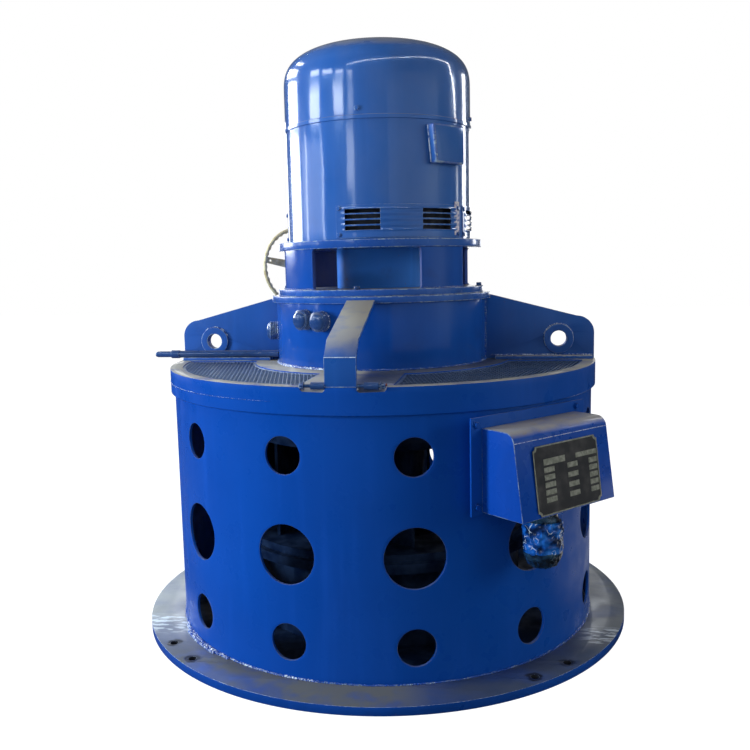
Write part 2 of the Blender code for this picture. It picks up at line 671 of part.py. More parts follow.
def guide_vanes():
    """Ring segments with two vanes each, under a conical crown that hangs from the deck."""
    low = CHAMBER_TOP + TOUCH
    high = low + GUIDE_THICK
    pitch = 360.0 / GUIDE_SEGMENTS
    margin = math.degrees(TOUCH / 2 / GUIDE_INNER)
    for number in range(GUIDE_SEGMENTS):
        middle = pitch * number
        segment = bent_block(f"guide_segment_{number + 1}", GUIDE_INNER, GUIDE_OUTER, low, high,
                             middle - pitch / 2 + margin, middle + pitch / 2 - margin, 8, STEEL)
        for side in (-1, 1):
            azimuth = middle + side * VANE_SPREAD
            turn = radial_frame(azimuth, VANE_CIRCLE, 0.0) @ Matrix.Rotation(math.radians(VANE_TURN), 4, "Z")
            fuse(segment, block(f"guide_vane_{number + 1}_{side}",
                                (-VANE_THICK / 2, -VANE_LENGTH / 2, low + GUIDE_THICK / 2),
                                (VANE_THICK / 2, VANE_LENGTH / 2, GUIDE_TOP - TOUCH), matrix=turn, home=cutters))
    top = DECK_TOP - DECK_THICK - TOUCH
    turned("guide_crown", [(CROWN_INNER, top), (CROWN_NECK, top), (CROWN_RADIUS, CROWN_EDGE),
                           (CROWN_RADIUS, GUIDE_TOP), (CROWN_INNER, GUIDE_TOP)], STEEL)


def inner_head_cover():
    """The closed cone round the shaft, from the deck down to the runner's hub."""
    top = DECK_TOP - DECK_THICK - TOUCH
    bore = SHAFT_RADIUS + TOUCH
    wide, narrow = COVER_CONE
    turned("inner_head_cover", [(bore, top), (wide[0], top), wide, narrow, (bore, narrow[1])], STEEL, 36)


def runner():
    top = DECK_TOP - DECK_THICK - TOUCH
    shaft = drum_disc("runner_and_shaft", SHAFT_RADIUS, HUB_TOP - 0.010, top, STEEL, 24)
    hub = turned("runner_hub", [(0.0, HUB_TOP)] + list(RUNNER_HUB) + [(0.0, RUNNER_HUB_LOW)], STEEL, 24,
                 home=cutters)
    fuse(shaft, hub)
    height = Matrix.Translation((0.0, 0.0, BLADE_MIDDLE))
    for blade in range(BLADES):
        turn = Matrix.Rotation(math.tau * blade / BLADES, 4, "Z")
        pitch = Matrix.Rotation(math.radians(BLADE_PITCH), 4, "X")
        fuse(shaft, block(f"runner_blade_{blade + 1}", (BLADE_ROOT, -BLADE_HALF_CHORD, -BLADE_THICK / 2),
                          (BLADE_TIP, BLADE_HALF_CHORD, BLADE_THICK / 2), matrix=height @ turn @ pitch,
                          home=cutters))


base_flange()
drum()
deck()
gratings()
housing()
generator()
lifting_ears()
drain_pipe()
plugs()
strap()
junction_box()
handwheel()
handwheel_gearbox()
runner_chamber()
guide_vanes()
inner_head_cover()
runner()
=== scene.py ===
import math

import bmesh
import bpy
from mathutils import Matrix, Vector, noise


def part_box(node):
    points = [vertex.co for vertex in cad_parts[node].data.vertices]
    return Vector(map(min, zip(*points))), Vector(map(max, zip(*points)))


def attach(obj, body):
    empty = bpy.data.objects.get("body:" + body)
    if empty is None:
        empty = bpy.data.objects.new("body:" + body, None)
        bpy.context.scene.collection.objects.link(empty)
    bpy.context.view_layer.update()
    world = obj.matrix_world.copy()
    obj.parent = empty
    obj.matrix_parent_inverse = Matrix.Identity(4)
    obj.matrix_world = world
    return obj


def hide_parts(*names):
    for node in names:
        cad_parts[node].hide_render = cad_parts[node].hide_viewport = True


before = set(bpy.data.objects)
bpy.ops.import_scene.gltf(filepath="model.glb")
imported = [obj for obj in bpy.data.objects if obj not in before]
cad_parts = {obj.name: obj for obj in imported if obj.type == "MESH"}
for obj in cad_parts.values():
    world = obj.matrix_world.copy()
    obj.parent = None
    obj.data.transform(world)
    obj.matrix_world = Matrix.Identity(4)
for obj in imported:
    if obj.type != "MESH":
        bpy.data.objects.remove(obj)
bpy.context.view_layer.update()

# Azimuth 0 is the front (-Y) and grows towards +X. Metres and degrees.
MACHINE = "machine"
WHEEL = "handwheel"
ROUND = 240                      # facets of a full turn on the large round pieces
MERGE = 0.00002
SHARP = 35.0                     # edges that bend more than this are rounded off
SHEET_SHARP = 50.0               # the same for walls made from a sheet
STAND_UP = Matrix.Rotation(math.radians(90.0), 4, "X")


def outer(node):
    """Radius of a round node about the machine's axis."""
    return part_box(node)[1].x


def low(node):
    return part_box(node)[0].z


def high(node):
    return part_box(node)[1].z


def polar(azimuth, radius, height=0.0):
    turn = math.radians(azimuth)
    return Vector((radius * math.sin(turn), -radius * math.cos(turn), height))


def about_axis(angle):
    return Matrix.Rotation(math.radians(angle), 4, "Z")


def tangent_frame(azimuth, radius, height):
    """Local X along growing azimuth, local -Y outwards, local Z up."""
    return Matrix.Translation(polar(azimuth, radius, height)) @ about_axis(azimuth)


def facing_out(azimuth, radius, height):
    """Local Z points outwards from the axis."""
    turn = polar(azimuth, 1.0).to_track_quat("Z", "Y").to_matrix().to_4x4()
    return Matrix.Translation(polar(azimuth, radius, height)) @ turn


def side_view(azimuth):
    """Outline X runs outwards from the axis, outline Y up, thickness along the tangent."""
    return about_axis(azimuth - 90.0) @ STAND_UP


# Driving sizes, from the frame where a node gives them
SEAT = 0.0003                    # gap between a piece and what carries it, as in the solids
DRUM_RADIUS = max(outer("drum_wall_03"), outer("drum_wall_04"))
DRUM_WALL = 0.008
DRUM_COLUMNS = 12
FIRST_COLUMN = 15.0
HOLE_ROWS = ((0.128, 0.053), (0.377, 0.085), (0.652, 0.053))
BASE_RADIUS = outer("base_flange")
BASE_BORE = 0.430
BASE_TOP = high("base_flange")
ANCHOR_CIRCLE = 0.765
ANCHOR_RADIUS = 0.012
ANCHOR_SPREAD = 5.0
RIM_RADIUS = outer("rim_band")
RIM_LOW = low("rim_band")
RIM_INNER = 0.662
RIM_SEAM = 0.800
DECK_LOW = low("deck_plate")
DECK_TOP = high("deck_plate")
GRATE_INNER = 0.425
GRATE_OUTER = 0.660
FRONT_STRIP_HALF = 0.125
SIDE_STRIP_HALF = 0.060
SCOOPS = ((-0.118, -0.0485), (0.0355, 0.113))    # hollows in the deck's edge beside the strap
SCOOP_START = 0.645
SCOOP_DROP = 0.0138
STRAP_KNEE = (0.655, 0.963)      # distance in front of the axis, height
STRAP_CREASE = 0.919
STRAP_LEAN = 0.009
STRAP_THICK = 0.008
SLEEVES = ((-0.0862, -0.0495), (0.0555, 0.0930))
HOUSING_RADIUS = outer("turbine_housing")
COVER_RADIUS = outer("housing_cover")
COVER_LOW = low("housing_cover")
COVER_TOP = high("housing_cover")
FOOT_RADIUS = outer("frame_foot_ring")
FOOT_TOP = high("frame_foot_ring")
FRAME_RADIUS = 0.329
FRAME_WALL = 0.012
WINDOW_HALF = 30.5
TOP_FLANGE_RADIUS = outer("frame_top_flange")
TOP_FLANGE_LOW = low("frame_top_flange")
TOP_FLANGE_TOP = high("frame_top_flange")
BEARING_RADIUS = outer("bearing_housing")
FRAME_POSTS = 4
GENERATOR_RADIUS = outer("generator_body")
TERMINAL_AZIMUTH = 49.5
COVER_HALF = 40.5
COVER_MIDDLES = (23.5, 108.5, -120.5)
COVER_THICK = 0.0025
COVER_PROUD = 0.0043
COVER_RIB = 0.0016
SLOT_ZONES = ((-35.0, -14.5), (10.5, 31.5))
SLOT_LEVELS = (1.2650, 1.2820, 1.2990, 1.3155)
SLOT_TALL = 0.0125
REFLECTION_AZIMUTHS = (58.4, 63.4)     # the painted reflection on the end of the cover right of the front
REFLECTION_HEIGHTS = (1.2420, 1.3440)
SEAM = low("dome_cover")
DOME_TOP = high("dome_cover")
DOME_RADIUS = 0.302
DOME_LIP = outer("dome_cover")
DOME_LIP_TOP = 1.5925
DOME_SPRING = 1.7125
DOME_SIDE_POWER = 3.0
DOME_CROWN_POWER = 2.9
SCREW_AZIMUTHS = (-3.0, 87.0, 177.0, -93.0)
SCREW_HEIGHT = 1.612
EAR_THICK = 0.020
EAR_HOLE = (0.585, 0.906)
EAR_HOLE_RADIUS = 0.0255
EAR_BOSS_RADIUS = 0.048
EAR_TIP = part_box("lifting_ear_right")[1].x
EAR_SHOULDER = 0.979
EAR_WELD = (0.366, 0.690)        # where the weld along an ear's foot starts and ends
PLUGS = ((-33.4, 0.993), (-22.6, 0.989), (-74.0, 0.947))    # azimuth and height of each
BOX_AZIMUTH = 47.0
BOX_MIDDLE = -0.045
BOX_WIDTH = 0.374
BOX_LOW = 0.503
BOX_HIGH = 0.727
BOX_FRONT_LOW = 0.840
BOX_FRONT_HIGH = 0.810
GLAND_DEPTH = 0.032
FILM_DEPTH = 0.116
# The wrapped outlet's radius by its depth under the box
BUNDLE_PROFILE = ((0.0, 0.038), (0.022, 0.040), (0.030, 0.043), (0.036, 0.054), (0.060, 0.055),
                  (0.100, 0.055), (0.116, 0.054), (0.138, 0.050), (0.154, 0.040), (0.163, 0.026),
                  (0.166, 0.0))
BUNDLE_DEPTH = BUNDLE_PROFILE[-1][0]
WHEEL_AZIMUTH = -137.6
WHEEL_REACH = 0.578
WHEEL_HEIGHT = 1.161
WHEEL_RADIUS = 0.150
WHEEL_GRIP = 0.0066


# Camera and light, as in the photograph

FOCAL_SHARE = 834.7744 / 750.0   # focal length over the image width
CAMERA_AZIMUTH = 8.47684
CAMERA_DISTANCE = 2.82004
CAMERA_HEIGHT = 1.14025
CAMERA_PITCH = math.radians(7.1801)
CAMERA_ROLL = math.radians(1.24036)
CAMERA_YAW = math.radians(-0.5246)
SENSOR = 36.0


def camera():
    view = bpy.data.cameras.new("camera")
    view.sensor_fit = "HORIZONTAL"
    view.sensor_width = SENSOR
    view.lens = SENSOR * FOCAL_SHARE
    view.clip_end = 100.0
    eye = bpy.data.objects.new("camera", view)
    bpy.context.scene.collection.objects.link(eye)
    right = Vector((math.cos(CAMERA_YAW), -math.sin(CAMERA_YAW), 0.0))
    ahead = Vector((math.sin(CAMERA_YAW), math.cos(CAMERA_YAW), 0.0))
    up = Vector((0.0, 0.0, 1.0))
    forward = ahead * math.cos(CAMERA_PITCH) - up * math.sin(CAMERA_PITCH)
    upward = ahead * math.sin(CAMERA_PITCH) + up * math.cos(CAMERA_PITCH)
    rolled_right = right * math.cos(CAMERA_ROLL) - upward * math.sin(CAMERA_ROLL)
    rolled_up = right * math.sin(CAMERA_ROLL) + upward * math.cos(CAMERA_ROLL)
    turn = Matrix((rolled_right, rolled_up, -forward)).transposed().to_4x4()
    eye.matrix_world = tangent_frame(CAMERA_AZIMUTH, CAMERA_DISTANCE, CAMERA_HEIGHT) @ turn
    bpy.context.scene.camera = eye


WHITE = (1.0, 1.0, 1.0)
SKY = (0.78, 0.88, 1.0)
SKY_STRENGTH = 0.11
# Lamps that light the machine and aren't mirrored:
# azimuth, distance, height, the height they aim at, size, watts, color
LAMPS = {
    "overhead": (-50.0, 1.8, 4.2, 0.8, (1.6, 1.6), 48.0, (1.0, 0.97, 0.90)),
    "left_key": (-64.0, 4.2, 1.4, 0.8, (1.0, 1.2), 215.0, (0.74, 0.88, 1.0)),
    "back_left_key": (-136.0, 4.0, 4.0, 0.8, (1.2, 1.2), 250.0, (0.86, 0.94, 1.0)),
    "front_fill": (15.0, 5.0, 2.4, 0.8, (2.5, 2.5), 38.0, WHITE),
    "low_fill": (-12.0, 3.8, 0.20, 0.35, (2.8, 0.8), 28.0, (0.85, 0.93, 1.0)),
    "right_fill": (80.0, 4.5, 1.8, 0.8, (2.0, 2.0), 74.0, (1.0, 0.95, 0.87)),
}
WINDOW_DISTANCE = 4.0
# Window panes that the glossy enamel mirrors: azimuth, width, lower and upper edge, brightness
WINDOWS = (
    (-112.5, 1.60, 1.30, 2.14, 13.0),
    (-113.0, 1.65, 2.22, 2.62, 13.0),
    (-118.0, 2.20, 2.81, 3.45, 9.0),
    (-112.0, 1.60, 3.97, 4.36, 9.0),
    (-78.0, 2.60, 1.40, 2.10, 1.8),
    (-88.0, 0.16, 1.30, 2.15, 6.0),
    (-61.0, 0.16, 1.30, 2.15, 5.0),
    (-69.5, 1.05, 2.24, 2.50, 12.0),
    (-69.0, 0.90, 2.64, 2.98, 11.0),
    (-51.0, 0.95, 2.64, 2.88, 10.0),
    (-37.0, 0.88, 2.24, 2.50, 11.0),
    (-34.5, 0.60, 2.60, 2.76, 10.0),
    (-21.5, 0.45, 2.24, 2.50, 3.5),
    (-21.5, 0.45, 2.58, 2.70, 8.0),
    (-23.5, 0.60, 1.75, 2.15, 4.5),
    (-20.5, 0.30, 1.40, 1.72, 2.0),
    (52.0, 5.0, 0.10, 2.60, 0.30),
    (118.0, 0.25, 1.50, 1.90, 3.5),
    (137.0, 0.60, 1.20, 2.80, 8.0),
    (-157.0, 1.50, 0.90, 2.30, 3.0),
    (172.0, 1.70, 0.90, 2.20, 2.2),
)
# A thin bright line that the dome mirrors, as turning points of (azimuth, height)
BRIGHT_LINE = ((-25.7, 3.14), (-15.0, 3.53), (-5.0, 3.80), (8.0, 3.98), (19.5, 4.25), (45.0, 4.43),
               (76.0, 4.75), (98.0, 4.20), (110.0, 3.70), (107.0, 2.68), (114.0, 2.39), (116.0, 2.24))
LINE_THICK = 0.07
LINE_BRIGHTNESS = 30.0
SHEEN_PLACE = polar(112.0, 1.9, 0.01)
SHEEN_SIZE = 1.8
SHEEN_POWER = 5.0
FLOOR_SIZE = 40.0


def area_light(name, place, aim, size, power, color=WHITE, mirrored=False):
    """A lamp is either seen in mirroring paint or lights the pieces, and the camera never sees it."""
    light = bpy.data.lights.new(name, "AREA")
    light.shape = "RECTANGLE"
    light.size = size[0]
    light.size_y = size[1]
    light.energy = power
    light.color = color
    lamp = bpy.data.objects.new(name, light)
    turn = (place - aim).to_track_quat("Z", "Y").to_matrix().to_4x4()
    lamp.matrix_world = Matrix.Translation(place) @ turn
    lamp.visible_camera = False
    lamp.visible_glossy = mirrored
    lamp.visible_diffuse = not mirrored
    bpy.context.scene.collection.objects.link(lamp)
    return lamp


def pane_power(brightness, width, tall):
    return brightness * math.pi * width * tall


def bright_line():
    """Strips of light end to end, each facing the machine."""
    ends = [polar(azimuth, WINDOW_DISTANCE, height) for azimuth, height in BRIGHT_LINE]
    for first, second in zip(ends, ends[1:]):
        place = (first + second) / 2
        run = second - first
        away = Vector((place.x, place.y, 0.0))
        side = away.cross(run).normalized()
        away = run.cross(side).normalized()
        lamp = area_light("bright_strip", place, Vector(), (run.length, LINE_THICK),
                          pane_power(LINE_BRIGHTNESS, run.length, LINE_THICK), mirrored=True)
        turn = Matrix((run.normalized(), side, away)).transposed().to_4x4()
        lamp.matrix_world = Matrix.Translation(place) @ turn


def lights():
    for name, (azimuth, distance, height, aim, size, power, color) in LAMPS.items():
        area_light(name, polar(azimuth, distance, height), Vector((0.0, 0.0, aim)), size, power, color)
    bright_line()
    area_light("floor_sheen", SHEEN_PLACE, SHEEN_PLACE + Vector((0.0, 0.0, 1.0)), (SHEEN_SIZE, SHEEN_SIZE),
               SHEEN_POWER, mirrored=True)
    for azimuth, width, bottom, top, brightness in WINDOWS:
        tall = top - bottom
        place = polar(azimuth, WINDOW_DISTANCE, (bottom + top) / 2)
        area_light("window_pane", place, Vector((0.0, 0.0, place.z)), (width, tall),
                   pane_power(brightness, width, tall), mirrored=True)


def seen_by_camera(tree, others, camera_shader):
    """One shader for what the camera sees, and another for all other light."""
    path = tree.nodes.new("ShaderNodeLightPath")
    choose = node(tree, "ShaderNodeMixShader", {},
                  {0: path.outputs["Is Camera Ray"], 1: others, 2: camera_shader})
    return choose.outputs[0]


def backdrop():
    """White to the camera, and a weak sky to the machine."""
    bpy.context.scene.view_settings.view_transform = "Standard"
    world = bpy.data.worlds.new("studio")
    world.use_nodes = True
    bpy.context.scene.world = world
    tree = world.node_tree
    white = tree.nodes["Background"]
    set_inputs(tree, white, {"Color": WHITE, "Strength": 1.0})
    soft = node(tree, "ShaderNodeBackground", {}, {"Color": SKY, "Strength": SKY_STRENGTH})
    wire(tree, seen_by_camera(tree, soft.outputs[0], white.outputs[0]),
         tree.nodes["World Output"].inputs["Surface"])


def floor():
    """White with a faint shadow to the camera, dark as a workshop floor to all that mirrors it."""
    shape = bmesh.new()
    bmesh.ops.create_grid(shape, x_segments=2, y_segments=2, size=FLOOR_SIZE / 2)
    mesh = mesh_from(shape)
    ground = bpy.data.objects.new("floor", mesh)
    bpy.context.scene.collection.objects.link(ground)
    tree, shader = surface("studio_floor")
    set_inputs(tree, shader, {"Base Color": (0.04, 0.04, 0.045), "Roughness": 0.9})
    pale = node(tree, "ShaderNodeBsdfDiffuse", {}, {"Color": (0.9, 0.9, 0.9)})
    glow = node(tree, "ShaderNodeEmission", {}, {"Color": WHITE, "Strength": 1.20})
    white = node(tree, "ShaderNodeMixShader", {}, {0: 0.86, 1: pale.outputs[0], 2: glow.outputs[0]})
    wire(tree, seen_by_camera(tree, shader.outputs[0], white.outputs[0]),
         tree.nodes["Material Output"].inputs["Surface"])
    mesh.materials.append(bpy.data.materials["studio_floor"])


# Material helpers

def surface(name):
    material = bpy.data.materials.new(name)
    material.use_nodes = True
    tree = material.node_tree
    return tree, tree.nodes["Principled BSDF"]


def wire(tree, value, socket):
    """Link a socket, or set a constant."""
    if isinstance(value, bpy.types.NodeSocket):
        tree.links.new(value, socket)
    elif isinstance(value, tuple) and len(value) == 3 and socket.type == "RGBA":
        socket.default_value = (*value, 1.0)
    else:
        socket.default_value = value


def set_inputs(tree, made, values):
    for key, value in values.items():
        wire(tree, value, made.inputs[key])


def node(tree, kind, settings, inputs):
    made = tree.nodes.new(kind)
    for key, value in settings.items():
        setattr(made, key, value)
    set_inputs(tree, made, inputs)
    return made


def place_coordinate(tree):
    return tree.nodes.new("ShaderNodeTexCoord").outputs["Object"]


def ramp(tree, value, stops):
    made = node(tree, "ShaderNodeValToRGB", {}, {"Fac": value})
    bar = made.color_ramp
    for element, (position, color) in zip(bar.elements, (stops[0], stops[-1])):
        element.position = position
        element.color = (*color, 1.0)
    for position, color in stops[1:-1]:
        bar.elements.new(position).color = (*color, 1.0)
    return made.outputs["Color"]


def math_node(tree, operation, first, second=0.0, clamp=False):
    settings = {"operation": operation, "use_clamp": clamp}
    return node(tree, "ShaderNodeMath", settings, {0: first, 1: second}).outputs[0]


def vector_node(tree, operation, first, second=(0.0, 0.0, 0.0), output="Vector"):
    return node(tree, "ShaderNodeVectorMath", {"operation": operation}, {0: first, 1: second}).outputs[output]


def split(tree, vector):
    """X, Y and Z of a vector."""
    return node(tree, "ShaderNodeSeparateXYZ", {}, {0: vector}).outputs


def times(tree, first, *others):
    product = first
    for value in others:
        product = math_node(tree, "MULTIPLY", product, value)
    return product


def rest_of(tree, share):
    return math_node(tree, "SUBTRACT", 1.0, share, clamp=True)


def spread(tree, value, low_in, high_in, low_out=0.0, high_out=1.0):
    made = node(tree, "ShaderNodeMapRange", {"interpolation_type": "SMOOTHSTEP"},
                {"Value": value, "From Min": low_in, "From Max": high_in,
                 "To Min": low_out, "To Max": high_out})
    return made.outputs["Result"]


def mix_color(tree, share, first, second):
    return node(tree, "ShaderNodeMix", {"data_type": "RGBA"}, {0: share, 6: first, 7: second}).outputs[2]


def noise_at(tree, place, scale, detail=4.0, stretch=(1.0, 1.0, 1.0), offset=(0.0, 0.0, 0.0)):
    mapped = node(tree, "ShaderNodeMapping", {}, {"Vector": place, "Scale": stretch, "Location": offset})
    made = node(tree, "ShaderNodeTexNoise", {},
                {"Vector": mapped.outputs["Vector"], "Scale": scale, "Detail": detail})
    return made.outputs["Fac"]


def bump(tree, height, strength, distance, under=None):
    inputs = {"Strength": strength, "Distance": distance, "Height": height}
    if under is not None:
        inputs["Normal"] = under
    return node(tree, "ShaderNodeBump", {}, inputs).outputs["Normal"]


def upward(tree, start, end):
    """Share of dust by how level the surface lies."""
    normal = tree.nodes.new("ShaderNodeNewGeometry").outputs["Normal"]
    return spread(tree, split(tree, normal)["Z"], start, end)


COBALT = (0.0050, 0.0540, 0.3200)
COBALT_DEEP = (0.0035, 0.0330, 0.2150)
DUST = (0.325, 0.310, 0.270)
GREY_DIRT = (0.105, 0.106, 0.100)
RUST = (0.110, 0.045, 0.020)


def enamel(name, color=COBALT, deep=COBALT_DEEP, rough=0.20, dust=0.85, dirt=0.4, wave=0.10, coat=0.6,
           dust_start=0.62, haze=0.03, mirror=0.5, settling=DUST, extra=None):
    """Brushed and sprayed gloss enamel: runs, orange peel, dust on level faces, specks of rust."""
    tree, shader = surface(name)
    place = place_coordinate(tree)
    cloud = noise_at(tree, place, 2.2, 5.0)
    base = mix_color(tree, spread(tree, cloud, 0.35, 0.68), deep, color)
    runs = noise_at(tree, place, 6.0, 4.0, (5.0, 5.0, 0.35))
    faded = tuple(min(1.0, channel * 1.35 + 0.006) for channel in color)
    base = mix_color(tree, spread(tree, runs, 0.50, 0.85, 0.0, 0.30), base, faded)
    blotch = noise_at(tree, place, 9.0, 8.0, offset=(3.1, 1.7, 0.4))
    grimy = tuple(channel * 0.45 + 0.006 for channel in deep)
    base = mix_color(tree, spread(tree, blotch, 0.60, 0.74, 0.0, dirt), base, grimy)
    cover = dust
    if extra is not None:
        base, cover = extra(tree, place, base, dust)
    speck = noise_at(tree, place, 70.0, 2.0)
    base = mix_color(tree, spread(tree, speck, 0.735, 0.76, 0.0, 0.8 * dirt), base, RUST)
    film = noise_at(tree, place, 14.0, 8.0, offset=(0.4, 2.2, 5.0))
    settled = times(tree, upward(tree, dust_start, 0.97), spread(tree, film, 0.22, 0.56, 0.35, 1.0), cover)
    streaks = noise_at(tree, place, 5.0, 6.0, (1.0, 1.0, 0.6))
    thin = spread(tree, streaks, 0.30, 0.75, haze * 0.5, haze * 1.6)
    settled = math_node(tree, "MAXIMUM", settled, thin)
    gloss = spread(tree, film, 0.3, 0.7, rough * 0.75, rough * 1.4)
    dull = node(tree, "ShaderNodeMix", {"data_type": "FLOAT"}, {0: settled, 2: gloss, 3: 0.85})
    waves = noise_at(tree, place, 7.0, 1.5, (1.0, 1.0, 0.5))
    peel = noise_at(tree, place, 240.0, 2.0)
    normal = bump(tree, peel, 0.06, 0.001, bump(tree, waves, wave, 0.020))
    set_inputs(tree, shader, {"Base Color": mix_color(tree, settled, base, settling),
                              "Roughness": dull.outputs[0], "Specular IOR Level": mirror,
                              "Specular Tint": (0.40, 0.68, 1.0), "Coat Weight": coat,
                              "Coat Roughness": 0.06, "Normal": normal, "Coat Normal": normal})
    return bpy.data.materials[name]


def worn_edge(name, bare, least):
    """Edges where the enamel is thin and pale primer and dust show in broken lines; the same broken pale
    pattern also serves as a painted highlight and a painted reflection.
    """
    tree, shader = surface(name)
    place = place_coordinate(tree)
    broken = spread(tree, noise_at(tree, place, 22.0, 6.0), 0.40, 0.58, least, 1.0)
    fine = spread(tree, noise_at(tree, place, 130.0, 3.0), 0.3, 0.6)
    color = mix_color(tree, times(tree, broken, fine), COBALT, bare)
    set_inputs(tree, shader, {"Base Color": color, "Roughness": 0.42})
    return bpy.data.materials[name]


def weld_enamel(name, painted_glints, least):
    """Enamel over rough weld metal, with pale spots that are painted glints."""
    tree, shader = surface(name)
    place = place_coordinate(tree)
    broken = spread(tree, noise_at(tree, place, 30.0, 5.0), 0.40, 0.62, least, 1.0)
    sparkle = noise_at(tree, place, 210.0, 3.0)
    color = mix_color(tree, times(tree, broken, spread(tree, sparkle, 0.42, 0.58)), COBALT, painted_glints)
    normal = bump(tree, sparkle, 0.5, 0.002)
    set_inputs(tree, shader, {"Base Color": color, "Roughness": 0.16, "Coat Weight": 0.8,
                              "Normal": normal, "Coat Normal": normal})
    return bpy.data.materials[name]


def plain_metal(name, color, dark, rough, metallic, scale=18.0, mirror=0.5):
    tree, shader = surface(name)
    place = place_coordinate(tree)
    cloud = noise_at(tree, place, scale, 6.0)
    set_inputs(tree, shader, {"Base Color": mix_color(tree, spread(tree, cloud, 0.35, 0.65), dark, color),
                              "Roughness": spread(tree, cloud, 0.3, 0.7, rough * 1.3, rough * 0.8),
                              "Metallic": metallic, "Specular IOR Level": mirror,
                              "Normal": bump(tree, noise_at(tree, place, 160.0, 3.0), 0.15, 0.001)})
    return bpy.data.materials[name]


def crumpled_film(name, stops, glint, share):
    """Glossy plastic film: painted light and shade on its folds, and fine painted glints in lines between
    them.
    """
    tree, shader = surface(name)
    place = place_coordinate(tree)
    bent = noise_at(tree, place, 22.0, 3.0)
    pushed = node(tree, "ShaderNodeVectorMath", {"operation": "SCALE"},
                  {0: (0.06, 0.05, 0.05), "Scale": bent})
    shifted = vector_node(tree, "ADD", place, pushed.outputs[0])
    cells = node(tree, "ShaderNodeTexVoronoi", {"feature": "DISTANCE_TO_EDGE"},
                 {"Vector": shifted, "Scale": 46.0})
    # Painted glints: pale thin lines along the cell edges.
    glint_lines = spread(tree, cells.outputs["Distance"], 0.010, 0.055, 1.0, 0.0)
    here = spread(tree, noise_at(tree, place, 30.0, 3.0, offset=(1.0, 5.0, 2.0)), 0.50, 0.62)
    # Painted light and shade: the same fold noise picks light and dark blues.
    folds = noise_at(tree, place, 26.0, 5.0, (1.0, 1.0, 1.4))
    color = mix_color(tree, times(tree, glint_lines, here, share), ramp(tree, folds, stops), glint)
    normal = bump(tree, folds, 0.45, 0.008)
    set_inputs(tree, shader, {"Base Color": color, "Roughness": 0.14, "Specular IOR Level": 0.3,
                              "Coat Weight": 0.4, "Coat Roughness": 0.03,
                              "Normal": normal, "Coat Normal": normal})
    return bpy.data.materials[name]


def plate_enamel(name):
    """Black enamel of the type plate, dusty in patches."""
    tree, shader = surface(name)
    dusty = spread(tree, noise_at(tree, place_coordinate(tree), 30.0, 6.0), 0.4, 0.75, 0.0, 0.35)
    color = mix_color(tree, dusty, (0.014, 0.016, 0.020), (0.10, 0.10, 0.10))
    set_inputs(tree, shader, {"Base Color": color, "Roughness": 0.42})
    return bpy.data.materials[name]


def base_wear_and_painted_light(tree, place, base, dust):
    """Grime round the anchor holes, dirt in patches, grey films at both sides that are partly painted light,
    painted shade on the front right, and pale strokes at both sides that are a painted sheen.
    """
    folded = vector_node(tree, "ABSOLUTE", vector_node(tree, "MULTIPLY", place, (1.0, 1.0, 0.0)))
    gaps = []
    for side in (-1, 1):
        spot = polar(135.0 + side * ANCHOR_SPREAD, ANCHOR_CIRCLE)
        gaps.append(vector_node(tree, "DISTANCE", folded, tuple(spot), "Value"))
    nearest = math_node(tree, "MINIMUM", *gaps)
    ragged = math_node(tree, "ADD", nearest, times(tree, noise_at(tree, place, 55.0, 4.0), 0.030))
    level = upward(tree, 0.6, 0.9)
    halo = times(tree, spread(tree, ragged, 0.034, 0.044, 0.95, 0.0), level)
    across, along, _ = split(tree, place)
    uneven = noise_at(tree, place, 5.0, 5.0, (1.0, 1.6, 1.0))
    # Grey films at both sides of the front: dust, lightened as painted light where the light falls, most on
    # the left.
    left = times(tree, spread(tree, across, -0.36, -0.50), spread(tree, along, -0.62, -0.30),
                 spread(tree, uneven, 0.30, 0.60, 0.70, 1.0), level)
    right = times(tree, spread(tree, across, 0.54, 0.68), spread(tree, along, -0.44, -0.32),
                  spread(tree, uneven, 0.35, 0.60, 0.45, 1.0), level)
    # Painted shade: the front right of the base is darker, where the drum's shadow falls.
    shade = times(tree, spread(tree, across, 0.12, 0.32), spread(tree, uneven, 0.35, 0.55, 0.5, 0.8), level)
    # Painted sheen: pale strokes in bands at both sides stand in for reflected light.
    strokes = spread(tree, noise_at(tree, place, 38.0, 7.0, (0.55, 1.9, 1.0)), 0.48, 0.58)
    left_band = times(tree, spread(tree, along, -0.44, -0.39), spread(tree, along, -0.31, -0.28, 1.0, 0.0),
                      spread(tree, across, -0.50, -0.58))
    right_band = times(tree, spread(tree, along, -0.38, -0.34), spread(tree, along, -0.27, -0.23, 1.0, 0.0),
                       spread(tree, across, 0.62, 0.68))
    pale = times(tree, math_node(tree, "MAXIMUM", left_band, right_band), strokes, level)
    for share, color in ((shade, (0.024, 0.036, 0.058)), (left, (0.31, 0.32, 0.32)),
                         (right, (0.15, 0.16, 0.17)), (pale, (0.60, 0.66, 0.71)),
                         (halo, (0.010, 0.010, 0.014))):
        base = mix_color(tree, share, base, color)
    patches = spread(tree, noise_at(tree, place, 3.4, 3.5, offset=(0.7, 0.2, 0.0)), 0.44, 0.50, 0.50, 1.0)
    covered = math_node(tree, "MAXIMUM", halo, math_node(tree, "MAXIMUM", left, right))
    # The dust also thins towards the right, as part of the painted shade.
    cover = times(tree, patches, spread(tree, across, 0.10, 0.26, 1.0, 0.30), rest_of(tree, covered))
    return base, times(tree, cover, dust)


